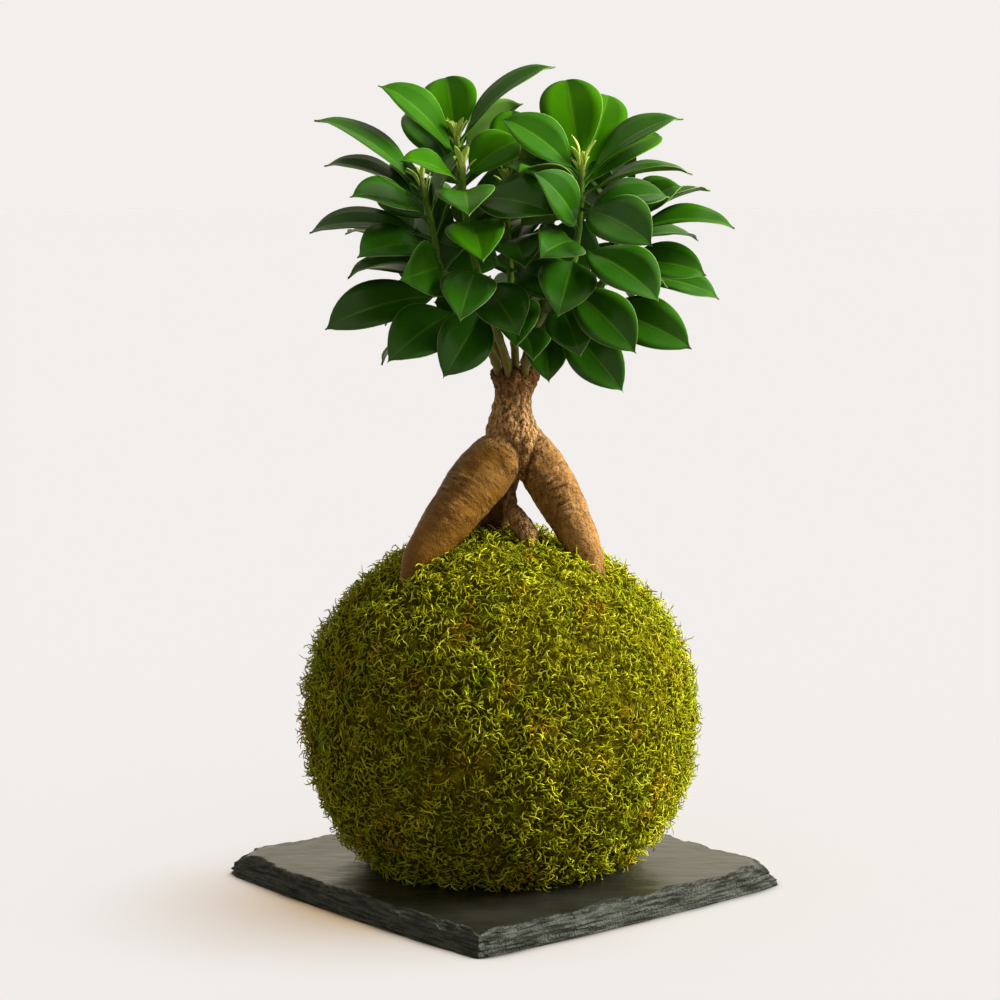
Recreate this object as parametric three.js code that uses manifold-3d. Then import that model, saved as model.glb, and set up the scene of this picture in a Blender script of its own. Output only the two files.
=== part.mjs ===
// A ginseng fig growing out of a moss ball, on a square slab of slate.
// Millimetres, +Z up. The origin is the centre of the slab's underside, and -Y is the front,
// where the two thick root legs stand side by side.
import * as THREE from "three";
import { mergeVertices } from "three/addons/utils/BufferGeometryUtils.js";
import Module from "manifold-3d";

const wasm = await Module();
wasm.setup();

// Driving dimensions
const GAP = 0.35; // between neighbours that touch
const SLAB_SIDE = 153; // between the furthest points of its edges, which fall short by 1 to 4 mm elsewhere
const SLAB_THICK = 8.5;
const SLAB_TURN = 40.5; // degrees about Z
const BALL_WIDTH = 147;
const BALL_HEIGHT = 136; // before it settles flat on the slab
const BALL_CENTRE = { x: -1, y: 0, z: 67 };
const BALL_SAG = 2.5; // 2 keeps the lower half round, more makes it fuller
const MOSS_THICK = 9;
const MOSS_RELIEF = 1.1;
const LEAF_THICK = 0.8;
const LEAF_LENGTH = 40;
const STEM_RADIUS = { base: 1.9, top: 1.4, bud: 0.35 };

const UP = new THREE.Vector3(0, 0, 1);
const vec = (p) => new THREE.Vector3(...p);
const radians = THREE.MathUtils.degToRad;
const lerp = THREE.MathUtils.lerp;

// A repeatable number from 0 to 1 for each whole number n.
function chance(n) {
  let h = Math.imul(n + 1013, 0x9e3779b1) >>> 0;
  h = Math.imul(h ^ (h >>> 15), 0x85ebca6b) >>> 0;
  h = Math.imul(h ^ (h >>> 13), 0xc2b2ae35) >>> 0;
  return ((h ^ (h >>> 16)) >>> 0) / 4294967296;
}

// A closed three.js geometry as a manifold-3d solid.
function solidOf(geometry) {
  const bare = geometry.index ? geometry.toNonIndexed() : geometry.clone();
  bare.deleteAttribute("normal");
  bare.deleteAttribute("uv");
  const merged = mergeVertices(bare, 1e-4);
  return new wasm.Manifold(
    new wasm.Mesh({
      numProp: 3,
      vertProperties: new Float32Array(merged.attributes.position.array),
      triVerts: new Uint32Array(merged.index.array),
    }),
  );
}

// A manifold-3d solid as a three.js geometry with flat normals.
function geometryOf(solid) {
  const mesh = solid.getMesh();
  const geometry = new THREE.BufferGeometry();
  geometry.setAttribute("position", new THREE.BufferAttribute(new Float32Array(mesh.vertProperties), 3));
  geometry.setIndex(new THREE.BufferAttribute(new Uint32Array(mesh.triVerts), 1));
  const flat = geometry.toNonIndexed();
  flat.computeVertexNormals();
  return flat;
}

function middle(points) {
  return points.reduce((sum, p) => sum.add(p), new THREE.Vector3()).divideScalar(points.length);
}

// Closes a run of rings, each a list of points in the same turning sense, into one skin with two caps.
// split(i, j) says which way the four-sided face j of band i is cut in two.
// A ring that isn't convex has its cap drawn from its middle, as hub asks.
function skin(rings, { split = () => false, hub = false } = {}) {
  const sides = rings[0].length;
  const triangles = [];
  const face = (a, b, c) => triangles.push(a, b, c);
  for (let i = 0; i + 1 < rings.length; i++) {
    for (let j = 0; j < sides; j++) {
      const [a, b] = [rings[i][j], rings[i][(j + 1) % sides]];
      const [d, c] = [rings[i + 1][j], rings[i + 1][(j + 1) % sides]];
      if (split(i, j)) {
        face(a, b, d);
        face(b, c, d);
      } else {
        face(a, b, c);
        face(a, c, d);
      }
    }
  }
  const [first, last] = [rings[0], rings[rings.length - 1]];
  const [low, high] = hub ? [middle(first), middle(last)] : [first[0], last[0]];
  for (let j = hub ? 0 : 1; j < (hub ? sides : sides - 1); j++) {
    face(low, first[(j + 1) % sides], first[j]);
    face(high, last[j], last[(j + 1) % sides]);
  }
  const geometry = new THREE.BufferGeometry();
  geometry.setFromPoints(triangles);
  return geometry;
}

// A round limb along a smooth line. Each point is [x, y, z, radius], and the bark's bulges are a ripple
// of the radius. grow widens it all round, for the hole that it stands in.
function limb(points, { sides, step, ripple = 0, grow = 0, seed = 0 }) {
  const line = new THREE.CatmullRomCurve3(points.map((p) => vec(p.slice(0, 3))));
  const girth = new THREE.CatmullRomCurve3(points.map((p) => new THREE.Vector3(p[3], 0, 0)));
  const count = Math.max(4, Math.round(line.getLength() / step));
  const rings = [];
  const side = new THREE.Vector3(1, 0, 0);
  for (let i = 0; i <= count; i++) {
    const t = i / count;
    const centre = line.getPoint(t);
    const along = line.getTangent(t);
    side.addScaledVector(along, -along.dot(side)).normalize();
    const other = new THREE.Vector3().crossVectors(along, side);
    const ring = [];
    for (let j = 0; j < sides; j++) {
      const angle = (2 * Math.PI * j) / sides;
      const wave = 1 + ripple * (2 * chance(seed + 31 * i + j) - 1);
      const radius = girth.getPoint(t).x * wave + grow;
      ring.push(
        centre
          .clone()
          .addScaledVector(side, radius * Math.cos(angle))
          .addScaledVector(other, radius * Math.sin(angle)),
      );
    }
    rings.push(ring);
  }
  return solidOf(skin(rings));
}

// Slab of slate

// A square outline with knapped edges. chip is how far each point may fall short of the true edge, and
// corner is how much more the four corners are broken away.
function knappedSquare({ height, chip, corner, seed }) {
  const each = 14;
  const outline = [];
  for (let side = 0; side < 4; side++) {
    for (let i = 0; i < each; i++) {
      const along = -1 + (2 * i) / each;
      const short = chip * (0.45 + 0.55 * chance(seed + side * each + i)) + corner * Math.abs(along) ** 10;
      const reach = SLAB_SIDE / 2 - short;
      const at = i === 0 ? -reach : (along * SLAB_SIDE) / 2;
      const turn = radians(SLAB_TURN) + (side * Math.PI) / 2;
      outline.push(new THREE.Vector3(at, -reach, height).applyAxisAngle(UP, turn));
    }
  }
  return outline;
}

function slateSlab() {
  const outlines = [
    knappedSquare({ height: 0, chip: 0.6, corner: 1.9, seed: 11 }),
    knappedSquare({ height: SLAB_THICK * 0.45, chip: 1.4, corner: 2.6, seed: 211 }),
    knappedSquare({ height: SLAB_THICK, chip: 4.2, corner: 4.6, seed: 411 }),
  ];
  return solidOf(skin(outlines, { hub: true }));
}

// Moss ball

// A ball with a full lower half, flattened where it sits. relief raises small tufts all over it.
function settledBall({ width, height, floor, relief = 0, round = 24, tall = 16 }) {
  const ball = mergeVertices(stripped(new THREE.SphereGeometry(1, round, tall).rotateX(Math.PI / 2)), 1e-4);
  const position = ball.attributes.position;
  for (let i = 0; i < position.count; i++) {
    const point = new THREE.Vector3().fromBufferAttribute(position, i);
    const raise = relief * (2 * chance(i) - 1);
    const flat = Math.hypot(point.x, point.y);
    if (point.z < 0) point.divideScalar((flat ** BALL_SAG + (-point.z) ** BALL_SAG) ** (1 / BALL_SAG));
    point.multiply(new THREE.Vector3(width / 2 + raise, width / 2 + raise, height / 2 + raise));
    point.add(new THREE.Vector3(BALL_CENTRE.x, BALL_CENTRE.y, BALL_CENTRE.z));
    point.z = Math.max(point.z, floor);
    position.setXYZ(i, point.x, point.y, point.z);
  }
  return solidOf(ball);
}

function stripped(geometry) {
  geometry.deleteAttribute("normal");
  geometry.deleteAttribute("uv");
  return geometry;
}

// The moss's inner face. grow = 0 is the soil's own surface.
function soilShape(grow) {
  return settledBall({
    width: BALL_WIDTH - 2 * MOSS_THICK + 2 * grow,
    height: BALL_HEIGHT - 2 * MOSS_THICK + 2 * grow,
    floor: SLAB_THICK + GAP + MOSS_THICK - grow,
    round: 18,
    tall: 10,
  });
}

function mossShape() {
  return settledBall({
    width: BALL_WIDTH,
    height: BALL_HEIGHT,
    floor: SLAB_THICK + GAP,
    relief: MOSS_RELIEF,
    round: 32,
    tall: 18,
  });
}

// Trunk: a neck with a rough collar, two thick root legs in front and one behind, and a knobbly small root.
// Every point is x, y, z and the radius there.
const ROOTS = {
  neck: [
    [4.2, 0, 160, 8],
    [3.8, 0.2, 168, 11],
    [3.6, 0, 174, 10],
    [3.4, 0, 180, 7.9],
    [4.0, 0, 186, 6.8],
    [4.4, 0, 190.5, 8.2],
    [4.6, 0, 194.2, 9.7],
    [4.6, 0, 197.2, 8.4],
  ],
  leftLeg: [
    [3.0, -0.5, 171, 7],
    [-2.0, -4, 163.5, 10.6],
    [-8.5, -8, 156.4, 11.4],
    [-13.8, -12, 149.6, 10.7],
    [-20, -17, 142, 9.5],
    [-26.6, -21, 134, 7.8],
    [-31, -24, 128.9, 6.2],
    [-33.4, -25.2, 124, 4.6],
    [-35, -25.5, 113, 3.4],
  ],
  rightLeg: [
    [6.5, 1.5, 172, 7],
    [10.5, 2.0, 165, 9.2],
    [14.9, 1.6, 158.5, 9.6],
    [19.3, 0, 151.9, 9.4],
    [23.5, -3, 144.4, 8.7],
    [27.1, -6.5, 137.7, 7.8],
    [30, -10, 132, 7],
    [32.6, -13.6, 125.5, 5.8],
    [35, -17, 113, 4.2],
  ],
  backLeg: [
    [3.2, 3, 168, 7.5],
    [-0.6, 7, 157, 7.6],
    [-3.4, 10, 146, 8],
    [-5, 13, 135, 7.8],
    [-6.5, 17, 124, 6],
    [-7.5, 20, 113, 4],
  ],
  knob: [
    [2.6, 3.2, 154, 2.8],
    [2.4, -0.3, 146.4, 3],
    [5.4, -4.4, 140.6, 3.8],
    [9, -8.8, 136, 4.4],
    [10.4, -12, 131, 3.4],
    [11.2, -14.6, 124, 2],
  ],
};

function trunkShape(grow = 0) {
  const parts = Object.entries(ROOTS).map(([name, points], i) =>
    limb(points, { sides: name === "knob" ? 8 : 12, step: 4.8, ripple: 0.035, grow, seed: 97 * i }),
  );
  return parts.reduce((whole, part) => whole.add(part));
}

// Leafy shoots

// Half width of a leaf's blade as a share of its full half width, from its base (0) to its tip (1).
function bladeShare(u) {
  return Math.sin(Math.PI * u ** 1.25) ** 0.66;
}

// Shares of a leaf's length, from the stem: the stalk up to STALK_END, then the blade.
const STATIONS = [0, 0.14, 0.32, 0.56, 0.82, 1];
const STALK_END = 0.15;
const BLADE_START = STATIONS[2];
const STALK_HALF = 0.8;
const TIP_HALF = 0.3;

// One leaf as a thin closed blade. Its upper face turns to the light: straight up for tilt 0, and level
// towards outward for tilt 90. arch bows it along, and fold lifts its two edges.
function leafSolid({ base, tip, width, tilt, outward, arch = 0.09, fold = 14 }, { grow = 0, from = 0 } = {}) {
  const chord = tip.clone().sub(base);
  const length = chord.length();
  const along = chord.clone().normalize();
  const light = UP.clone();
  light.multiplyScalar(Math.cos(radians(tilt))).addScaledVector(outward, Math.sin(radians(tilt)));
  const face = light.addScaledVector(along, -light.dot(along)).normalize();
  const side = new THREE.Vector3().crossVectors(face, along);
  const stations = STATIONS.filter((t) => t >= from);
  const rings = stations.map((t) => {
    const rib = base
      .clone()
      .addScaledVector(chord, t)
      .addScaledVector(face, arch * length * Math.sin(Math.PI * t));
    const u = THREE.MathUtils.clamp((t - STALK_END) / (1 - STALK_END), 0, 1);
    const half = Math.max(t < 1 ? STALK_HALF : TIP_HALF, (width / 2) * bladeShare(u)) + grow;
    const lift = Math.sin(radians(fold)) * half * (t > STALK_END ? 1 : 0);
    const out = Math.cos(radians(fold)) * half;
    const thick = t > STALK_END ? LEAF_THICK : 2 * STALK_HALF;
    const at = (across, up) => rib.clone().addScaledVector(side, across).addScaledVector(face, up);
    const [top, under] = [thick / 2 + grow, -thick / 2 - grow];
    return [
      at(out, lift + under),
      at(out, lift + top),
      at(0, top),
      at(-out, lift + top),
      at(-out, lift + under),
      at(0, under),
    ];
  });
  return solidOf(skin(rings, { split: (i, j) => j === 2 || j === 5 }));
}

// Each shoot's stem is a line of points from its socket in the collar up to its bud.
// leaves are those placed by eye: [share of the way up the stem, tip, width, tilt to the front].
// spiral adds more by rule: how many, between which shares of the stem, and the first one's heading.
const SHOOTS = {
  shoot_left_front: {
    stem: [
      [-0.6, -2.4, 191], [-2.6, -5, 200], [-9, -9, 211], [-17, -12, 222],
      [-23, -14, 236], [-26, -15, 250], [-29, -15, 264],
    ],
    leaves: [
      [0.97, [-69, -6, 290.5], 18, 14],
      [0.93, [-65, -14, 274], 18, 16],
      [0.86, [-54, -38, 262.5], 19, 30],
      [0.78, [-71, -16, 249.5], 19, 24],
      [0.73, [-51.5, -44, 241], 20, 44],
      [0.66, [-57, -20, 233], 15, 14],
      [0.66, [-35, -54, 232.5], 20, 72],
      [0.54, [-65, -26, 214], 20, 50],
      [0.47, [-41, -44, 203], 20, 68],
    ],
    spiral: { count: 11, top: 0.88, bottom: 0.4, turn: 20 },
  },
  shoot_left_centre: {
    stem: [
      [2.9, -5.3, 191], [1.6, -8, 200], [-3, -15, 214], [-8, -21, 230],
      [-12, -24, 246], [-14, -24, 258], [-14.5, -23, 270],
    ],
    leaves: [
      [0.96, [6, -18, 282], 19, 40],
      [0.93, [-36, -38, 275], 14, 35],
      [0.9, [-12, -57, 256], 20, 60],
      [0.86, [18, -44, 256], 21, 50],
      [0.76, [-7, -57, 240], 20, 45],
      [0.55, [-15, -56, 219], 19, 60],
      [0.5, [6, -46, 213], 19, 60],
      [0.42, [-21, -42, 197], 19, 72],
    ],
  },
  shoot_left_back: {
    stem: [
      [1.4, 4.2, 191], [-1, 7, 201], [-6, 10, 216], [-11, 11, 234],
      [-14, 10, 252], [-16, 9, 268], [-17, 9, 282],
    ],
    leaves: [
      [0.95, [-21.4, 30, 306.5], 20, 90],
      [0.9, [-45, -2, 303], 18, 35],
      [0.98, [19, 14, 311], 17, 14],
      [0.84, [-37, 22, 294], 18, 60],
      [0.78, [16, 17, 266], 20, 76],
      [0.64, [-44, 17, 261], 21, 76],
      [0.5, [-42, 12, 238], 21, 76],
    ],
    spiral: { count: 16, top: 0.95, bottom: 0.3, turn: 60 },
  },
  shoot_centre: {
    stem: [[4.6, -0.2, 191], [4.8, 0.4, 201], [4, 3, 215], [3, 4, 232], [2, 5, 250], [2, 5, 266]],
    leaves: [
      [0.98, [3.5, 24, 295], 15, 80],
      [0.74, [8, -34, 237], 20, 50],
      [0.62, [27, -24, 224], 18, 55],
      [0.5, [5, -30, 208], 18, 60],
      [0.84, [32, 12, 268], 20, 76],
      [0.62, [-28, -2, 246], 20, 76],
      [0.46, [-26, 3, 222], 20, 76],
    ],
    spiral: { count: 14, top: 0.9, bottom: 0.35, turn: 300, front: true },
  },
  shoot_right_front: {
    stem: [
      [7.6, -4.6, 191], [9.2, -7, 200], [16, -12, 213], [23, -17, 227],
      [27, -20, 243], [28.5, -21.5, 258], [29, -21, 271],
    ],
    leaves: [
      [0.97, [24, 6, 304.5], 22, 90],
      [0.95, [40, 10, 299], 18, 90],
      [0.94, [66, -12, 291], 18, 10],
      [0.91, [58, -6, 284], 19, 44],
      [0.88, [69, -22, 271], 18, 8],
      [0.96, [0, -22, 290], 18, 45],
      [0.87, [6, -42, 272], 16, 2],
      [0.82, [53, -50, 245], 21, 60],
      [0.72, [12, -48, 270], 16, 60],
      [0.68, [14, -50, 241], 18, 66],
      [0.66, [56, -48, 225], 21, 45],
      [0.63, [20, -50, 220], 20, 76],
      [0.52, [48, -42, 206], 19, 66],
      [0.44, [28, -40, 205], 17, 70],
      [0.4, [44, -32, 191], 18, 74],
      [0.32, [17, -30, 195], 14, 80],
    ],
    spiral: { count: 8, top: 0.9, bottom: 0.45, turn: 60 },
  },
  shoot_right_back: {
    stem: [[9.8, -0.4, 191], [13, 1.6, 200], [24, 5, 212], [36, 7, 226], [43, 7, 240], [46, 6, 254]],
    leaves: [
      [0.96, [67, 4, 266], 17, 36],
      [0.9, [87, 2, 251], 19, 20],
      [0.84, [75, 20, 246], 15, 16],
      [0.74, [76, -4, 233], 18, 45],
      [0.66, [82, 4, 224], 17, 34],
      [0.52, [70, -14, 206], 20, 60],
      [0.74, [16, 12, 246], 20, 76],
    ],
    spiral: { count: 14, top: 0.97, bottom: 0.4, turn: 75 },
  },
  shoot_back: {
    stem: [[7.4, 4.4, 191], [9, 9, 201], [14, 19, 216], [18, 28, 233], [19, 33, 250], [19, 34, 266]],
    leaves: [],
    spiral: { count: 22, top: 0.97, bottom: 0.3, turn: 0, front: true },
  },
};

// A leaf that has no room stands a little differently: the ways are tried in order.
// One placed by eye moves nearer or farther on the line of sight, and turns its face.
const EYE = new THREE.Vector3(-1, -993, 265);
const FRONT = new THREE.Vector3(0, -1, 0);
const NEARER = [0, -3, 3, -6, 6, -9, 9, -12, 12];
const TURNED = [0, 8, -8, 16, -16];

function placedLeaves({ stem, leaves }) {
  const line = new THREE.CatmullRomCurve3(stem.map(vec));
  return leaves.map(([share, place, width, tilt]) =>
    NEARER.flatMap((depth) => {
      const sight = vec(place).sub(EYE).normalize();
      const tip = vec(place).addScaledVector(sight, depth);
      const leaf = { base: line.getPoint(share), tip, width, outward: FRONT };
      return TURNED.map((turn) => ({ ...leaf, tilt: tilt + turn }));
    }),
  );
}

// Leaves placed by rule wind up the stem by the golden angle, standing up at its top and hanging at its
// foot, and keep to the back where the front's leaves are placed by eye. They have room to both sides.
const GOLDEN_TURN = 137.5;
const RISE = { top: 62, foot: -32 };
const LOWEST_TIP = 198;
const CROWN_AXIS = new THREE.Vector3(5, -6, 0);
const LIFTED = [0, -12, 12, -24, 24];
const ASIDE = [0, 15, -15, 30, -30];

function spiralLeaves({ stem, spiral }, index) {
  const line = new THREE.CatmullRomCurve3(stem.map(vec));
  return Array.from({ length: spiral?.count ?? 0 }, (_, i) => {
    const down = i / (spiral.count - 1);
    const draw = (k) => 2 * chance(1000 * index + 10 * i + k) - 1;
    const base = line.getPoint(lerp(spiral.top, spiral.bottom, down));
    const length = LEAF_LENGTH * (0.98 + 0.08 * draw(2)) * (i < 2 ? 0.85 : 1);
    const stand = (aside, up) => {
      const turn = radians(spiral.turn + GOLDEN_TURN * i + 10 * draw(0) + aside);
      const rise = radians(lerp(RISE.top, RISE.foot, down ** 0.9) + 8 * draw(1) + up);
      const back = spiral.front ? Math.sin(turn) : Math.abs(Math.sin(turn));
      const heading = vec([Math.cos(turn) * Math.cos(rise), back * Math.cos(rise), Math.sin(rise)]);
      const tip = base.clone().addScaledVector(heading, length);
      const outward = base.clone().lerp(tip, 0.6).sub(CROWN_AXIS).setZ(0).normalize();
      return { base, tip, width: 18.5 + 1.5 * draw(3), tilt: 38 + 14 * draw(4), outward };
    };
    const ways = LIFTED.flatMap((up) => ASIDE.map((aside) => stand(aside, up)));
    return ways.filter(({ tip }) => tip.z > LOWEST_TIP);
  });
}

function stemSolid(name, grow = 0) {
  const { stem } = SHOOTS[name];
  const last = stem.length - 1;
  const points = stem.map((p, i) => [...p, lerp(STEM_RADIUS.base, STEM_RADIUS.top, i / last)]);
  const heading = vec(stem[last]).sub(vec(stem[last - 1])).normalize();
  const bud = vec(stem[last]).addScaledVector(heading, 7);
  points.push([bud.x, bud.y, bud.z, STEM_RADIUS.bud]);
  return limb(points, { sides: 6, step: 9, grow });
}

// Grows every shoot. A leaf that has room in none of the ways that it may stand is left out: it keeps clear
// of every other blade, and of the other shoots' stems.
function growShoots() {
  const names = Object.keys(SHOOTS);
  const shoots = names.map((name) => ({ name, solid: stemSolid(name), socket: stemSolid(name, GAP) }));
  const taken = [];
  const apart = (a, b) => a.intersect(b).volume() === 0;
  const hasRoom = (leaf) =>
    taken.every((other) => apart(leaf.blade, other.blade)) &&
    taken.every((other) => other.shoot === leaf.shoot || apart(leaf.whole, other.whole)) &&
    shoots.every((other) => other === leaf.shoot || apart(leaf.whole, other.socket));
  const addLeaf = (shoot, ways) => {
    for (const way of ways) {
      const whole = leafSolid(way, { grow: GAP / 2 });
      const blade = leafSolid(way, { grow: GAP / 2, from: BLADE_START });
      if (hasRoom({ shoot, whole, blade })) {
        taken.push({ shoot, whole, blade });
        shoot.solid = shoot.solid.add(leafSolid(way));
        return;
      }
    }
  };
  shoots.forEach((shoot) => placedLeaves(SHOOTS[shoot.name]).forEach((ways) => addLeaf(shoot, ways)));
  shoots.forEach((shoot, i) => spiralLeaves(SHOOTS[shoot.name], i).forEach((ways) => addLeaf(shoot, ways)));
  return shoots;
}

// Assembly

const MATERIALS = {
  slate: new THREE.MeshStandardMaterial({ color: 0x3f423e, roughness: 0.62, metalness: 0 }),
  soil: new THREE.MeshStandardMaterial({ color: 0x2e2118, roughness: 0.95, metalness: 0 }),
  moss: new THREE.MeshStandardMaterial({ color: 0x6f7d1c, roughness: 0.9, metalness: 0 }),
  bark: new THREE.MeshStandardMaterial({ color: 0x8a6238, roughness: 0.6, metalness: 0 }),
  leaf: new THREE.MeshStandardMaterial({ color: 0x1f5414, roughness: 0.32, metalness: 0 }),
};

const plant = new THREE.Group();

function place(name, solid, material) {
  const mesh = new THREE.Mesh(geometryOf(solid), material);
  mesh.name = name;
  plant.add(mesh);
}

const rootHoles = trunkShape(GAP);
const shoots = growShoots();
const socketed = shoots.reduce((trunk, { socket }) => trunk.subtract(socket), trunkShape());

place("slate_slab", slateSlab(), MATERIALS.slate);
place("soil_ball", soilShape(0).subtract(rootHoles), MATERIALS.soil);
place("moss_skin", mossShape().subtract(soilShape(GAP)).subtract(rootHoles), MATERIALS.moss);
place("trunk", socketed, MATERIALS.bark);
shoots.forEach(({ name, solid }) => place(name, solid, MATERIALS.leaf));

export default plant;
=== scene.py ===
"""Dresses a small ginseng fig that grows out of a moss ball on a square slab of slate.

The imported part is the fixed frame. Lengths are in millimetres where a name says so, and in metres
otherwise. +Z is up, -Y is the front and +X is to the viewer's right.
"""

from __future__ import annotations

import logging
import math
from dataclasses import dataclass, field
from enum import Enum
from typing import Iterable, Sequence

import bpy
import numpy as np
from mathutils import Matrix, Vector, noise
from mathutils.bvhtree import BVHTree

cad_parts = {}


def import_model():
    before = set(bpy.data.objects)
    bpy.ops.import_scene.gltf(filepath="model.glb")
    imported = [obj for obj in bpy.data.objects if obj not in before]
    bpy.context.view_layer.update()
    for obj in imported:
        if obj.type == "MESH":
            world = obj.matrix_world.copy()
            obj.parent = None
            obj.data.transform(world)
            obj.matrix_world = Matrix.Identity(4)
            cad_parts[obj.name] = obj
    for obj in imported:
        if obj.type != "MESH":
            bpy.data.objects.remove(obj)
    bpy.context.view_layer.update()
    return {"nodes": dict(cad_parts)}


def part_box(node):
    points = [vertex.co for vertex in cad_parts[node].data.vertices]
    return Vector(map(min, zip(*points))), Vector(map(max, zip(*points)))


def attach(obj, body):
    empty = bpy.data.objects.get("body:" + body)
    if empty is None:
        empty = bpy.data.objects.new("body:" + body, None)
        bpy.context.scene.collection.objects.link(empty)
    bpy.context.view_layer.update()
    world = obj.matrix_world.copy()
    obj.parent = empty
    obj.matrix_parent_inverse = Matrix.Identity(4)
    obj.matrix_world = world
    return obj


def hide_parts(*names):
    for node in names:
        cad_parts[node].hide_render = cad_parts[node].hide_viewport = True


LOG = logging.getLogger("moss_ball_plant")
MM = 0.001
GOLDEN_ANGLE = math.pi * (3 - math.sqrt(5))

Point = tuple[float, float, float]
Colour = tuple[float, float, float, float]


def chance(number: int) -> float:
    """Gives a repeatable number from 0 to 1 for a whole number.

    Args:
        number: The whole number.

    Returns:
        The draw that belongs to it, the same as in the part's own source.
    """
    word = ((number + 1013) * 0x9E3779B1) & 0xFFFFFFFF
    word = ((word ^ (word >> 15)) * 0x85EBCA6B) & 0xFFFFFFFF
    word = ((word ^ (word >> 13)) * 0xC2B2AE35) & 0xFFFFFFFF
    return (word ^ (word >> 16)) / 4294967296


def smooth_step(low: float, high: float, value: np.ndarray | float) -> np.ndarray | float:
    """Rises softly from 0 at low to 1 at high.

    Args:
        low: Where it starts to rise.
        high: Where it is 1.
        value: A number or an array of them.

    Returns:
        The same shape as value.
    """
    share = np.clip((value - low) / (high - low), 0, 1)
    return share * share * (3 - 2 * share)


def unit(vectors: np.ndarray) -> np.ndarray:
    """Scales each row of an array to length 1."""
    return vectors / np.maximum(np.linalg.norm(vectors, axis=-1, keepdims=True), 1e-12)


class SmoothLine:
    """A smooth line through points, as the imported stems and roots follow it."""

    def __init__(self, points: Sequence[Sequence[float]]) -> None:
        """Keeps the points that the line passes through, in millimetres."""
        self.points = np.array(points, float)

    def point(self, share: float) -> np.ndarray:
        """Finds a point of the line.

        Args:
            share: How far along, from 0 to 1, counted by the points passed.

        Returns:
            The point.
        """
        points = self.points
        last = len(points) - 1
        place = share * last
        index = min(int(place), last - 1)
        weight = place - index
        before = points[index - 1] if index else 2 * points[0] - points[1]
        start, end = points[index], points[index + 1]
        after = points[index + 2] if index + 2 <= last else 2 * points[last] - points[last - 1]
        gap_in, gap, gap_out = (
            max(np.linalg.norm(b[:3] - a[:3]) ** 0.5, 1e-4)
            for a, b in ((before, start), (start, end), (end, after))
        )
        leave = (start - before) / gap_in - (end - before) / (gap_in + gap) + (end - start) / gap
        arrive = (end - start) / gap - (after - start) / (gap + gap_out) + (after - end) / gap_out
        leave, arrive = leave * gap, arrive * gap
        square = -3 * start + 3 * end - 2 * leave - arrive
        cube = 2 * start - 2 * end + leave + arrive
        return start + leave * weight + square * weight**2 + cube * weight**3

    def samples(self, count: int) -> np.ndarray:
        """Gives count points spread along the line, one in each row."""
        return np.array([self.point(i / (count - 1)) for i in range(count)])


def deselect() -> None:
    """Leaves object mode with nothing selected."""
    if bpy.context.object and bpy.context.object.mode != "OBJECT":
        bpy.ops.object.mode_set(mode="OBJECT")
    bpy.ops.object.select_all(action="DESELECT")


def activate(obj: bpy.types.Object) -> None:
    """Makes obj the only selected object and the active one."""
    deselect()
    obj.select_set(True)
    bpy.context.view_layer.objects.active = obj


def named(name: str) -> bpy.types.Object:
    """Names the object that the last operator made, and its mesh, and returns it."""
    obj = bpy.context.object
    obj.name = name
    obj.data.name = name
    return obj


def bake_place(obj: bpy.types.Object) -> None:
    """Puts obj's place, turn and scale into its mesh, so that the object sits at the origin."""
    activate(obj)
    bpy.ops.object.transform_apply(location=True, rotation=True, scale=True)


def apply_modifier(obj: bpy.types.Object, kind: str, **settings: object) -> None:
    """Adds a modifier to obj and applies it.

    Args:
        obj: The object.
        kind: The modifier's type.
        settings: Its properties by name.
    """
    activate(obj)
    modifier = obj.modifiers.new(kind.lower(), kind)
    for name, value in settings.items():
        setattr(modifier, name, value)
    bpy.ops.object.modifier_apply(modifier=modifier.name)


def read_points(obj: bpy.types.Object, what: str = "co") -> np.ndarray:
    """Reads a three-number property of every vertex.

    Args:
        obj: The object.
        what: The property, such as co or normal.

    Returns:
        One row for each vertex.
    """
    values = np.zeros(len(obj.data.vertices) * 3, np.float32)
    obj.data.vertices.foreach_get(what, values)
    return values.reshape(-1, 3).astype(float)


def write_points(obj: bpy.types.Object, points: np.ndarray) -> None:
    """Moves every vertex of obj to its row of points."""
    obj.data.vertices.foreach_set("co", points.astype(np.float32).ravel())
    obj.data.update()


def store(mesh: bpy.types.Mesh, name: str, values: np.ndarray, domain: str = "POINT") -> None:
    """Stores one number for each point or face, or three, for a material to read.

    Args:
        mesh: The mesh.
        name: The attribute's name.
        values: The numbers, one row each.
        domain: POINT or FACE.
    """
    kind, slot = ("FLOAT_VECTOR", "vector") if values.ndim == 2 else ("FLOAT", "value")
    attribute = mesh.attributes.new(name, kind, domain)
    attribute.data.foreach_set(slot, values.astype(np.float32).ravel())


def mesh_of(name: str, points: np.ndarray, triangles: np.ndarray) -> bpy.types.Object:
    """Makes a mesh object of many small copies at once, which operators would take hours over.

    Args:
        name: The object's name.
        points: Its vertices, in metres.
        triangles: Three vertex numbers in each row.

    Returns:
        The object, linked to the scene.
    """
    mesh = bpy.data.meshes.new(name)
    mesh.vertices.add(len(points))
    mesh.vertices.foreach_set("co", points.astype(np.float32).ravel())
    mesh.loops.add(triangles.size)
    mesh.loops.foreach_set("vertex_index", triangles.astype(np.int32).ravel())
    mesh.polygons.add(len(triangles))
    mesh.polygons.foreach_set("loop_start", np.arange(0, triangles.size, 3, dtype=np.int32))
    mesh.polygons.foreach_set("use_smooth", np.ones(len(triangles), bool))
    mesh.update(calc_edges=True)
    mesh.validate()
    obj = bpy.data.objects.new(name, mesh)
    bpy.context.scene.collection.objects.link(obj)
    return obj


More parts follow.
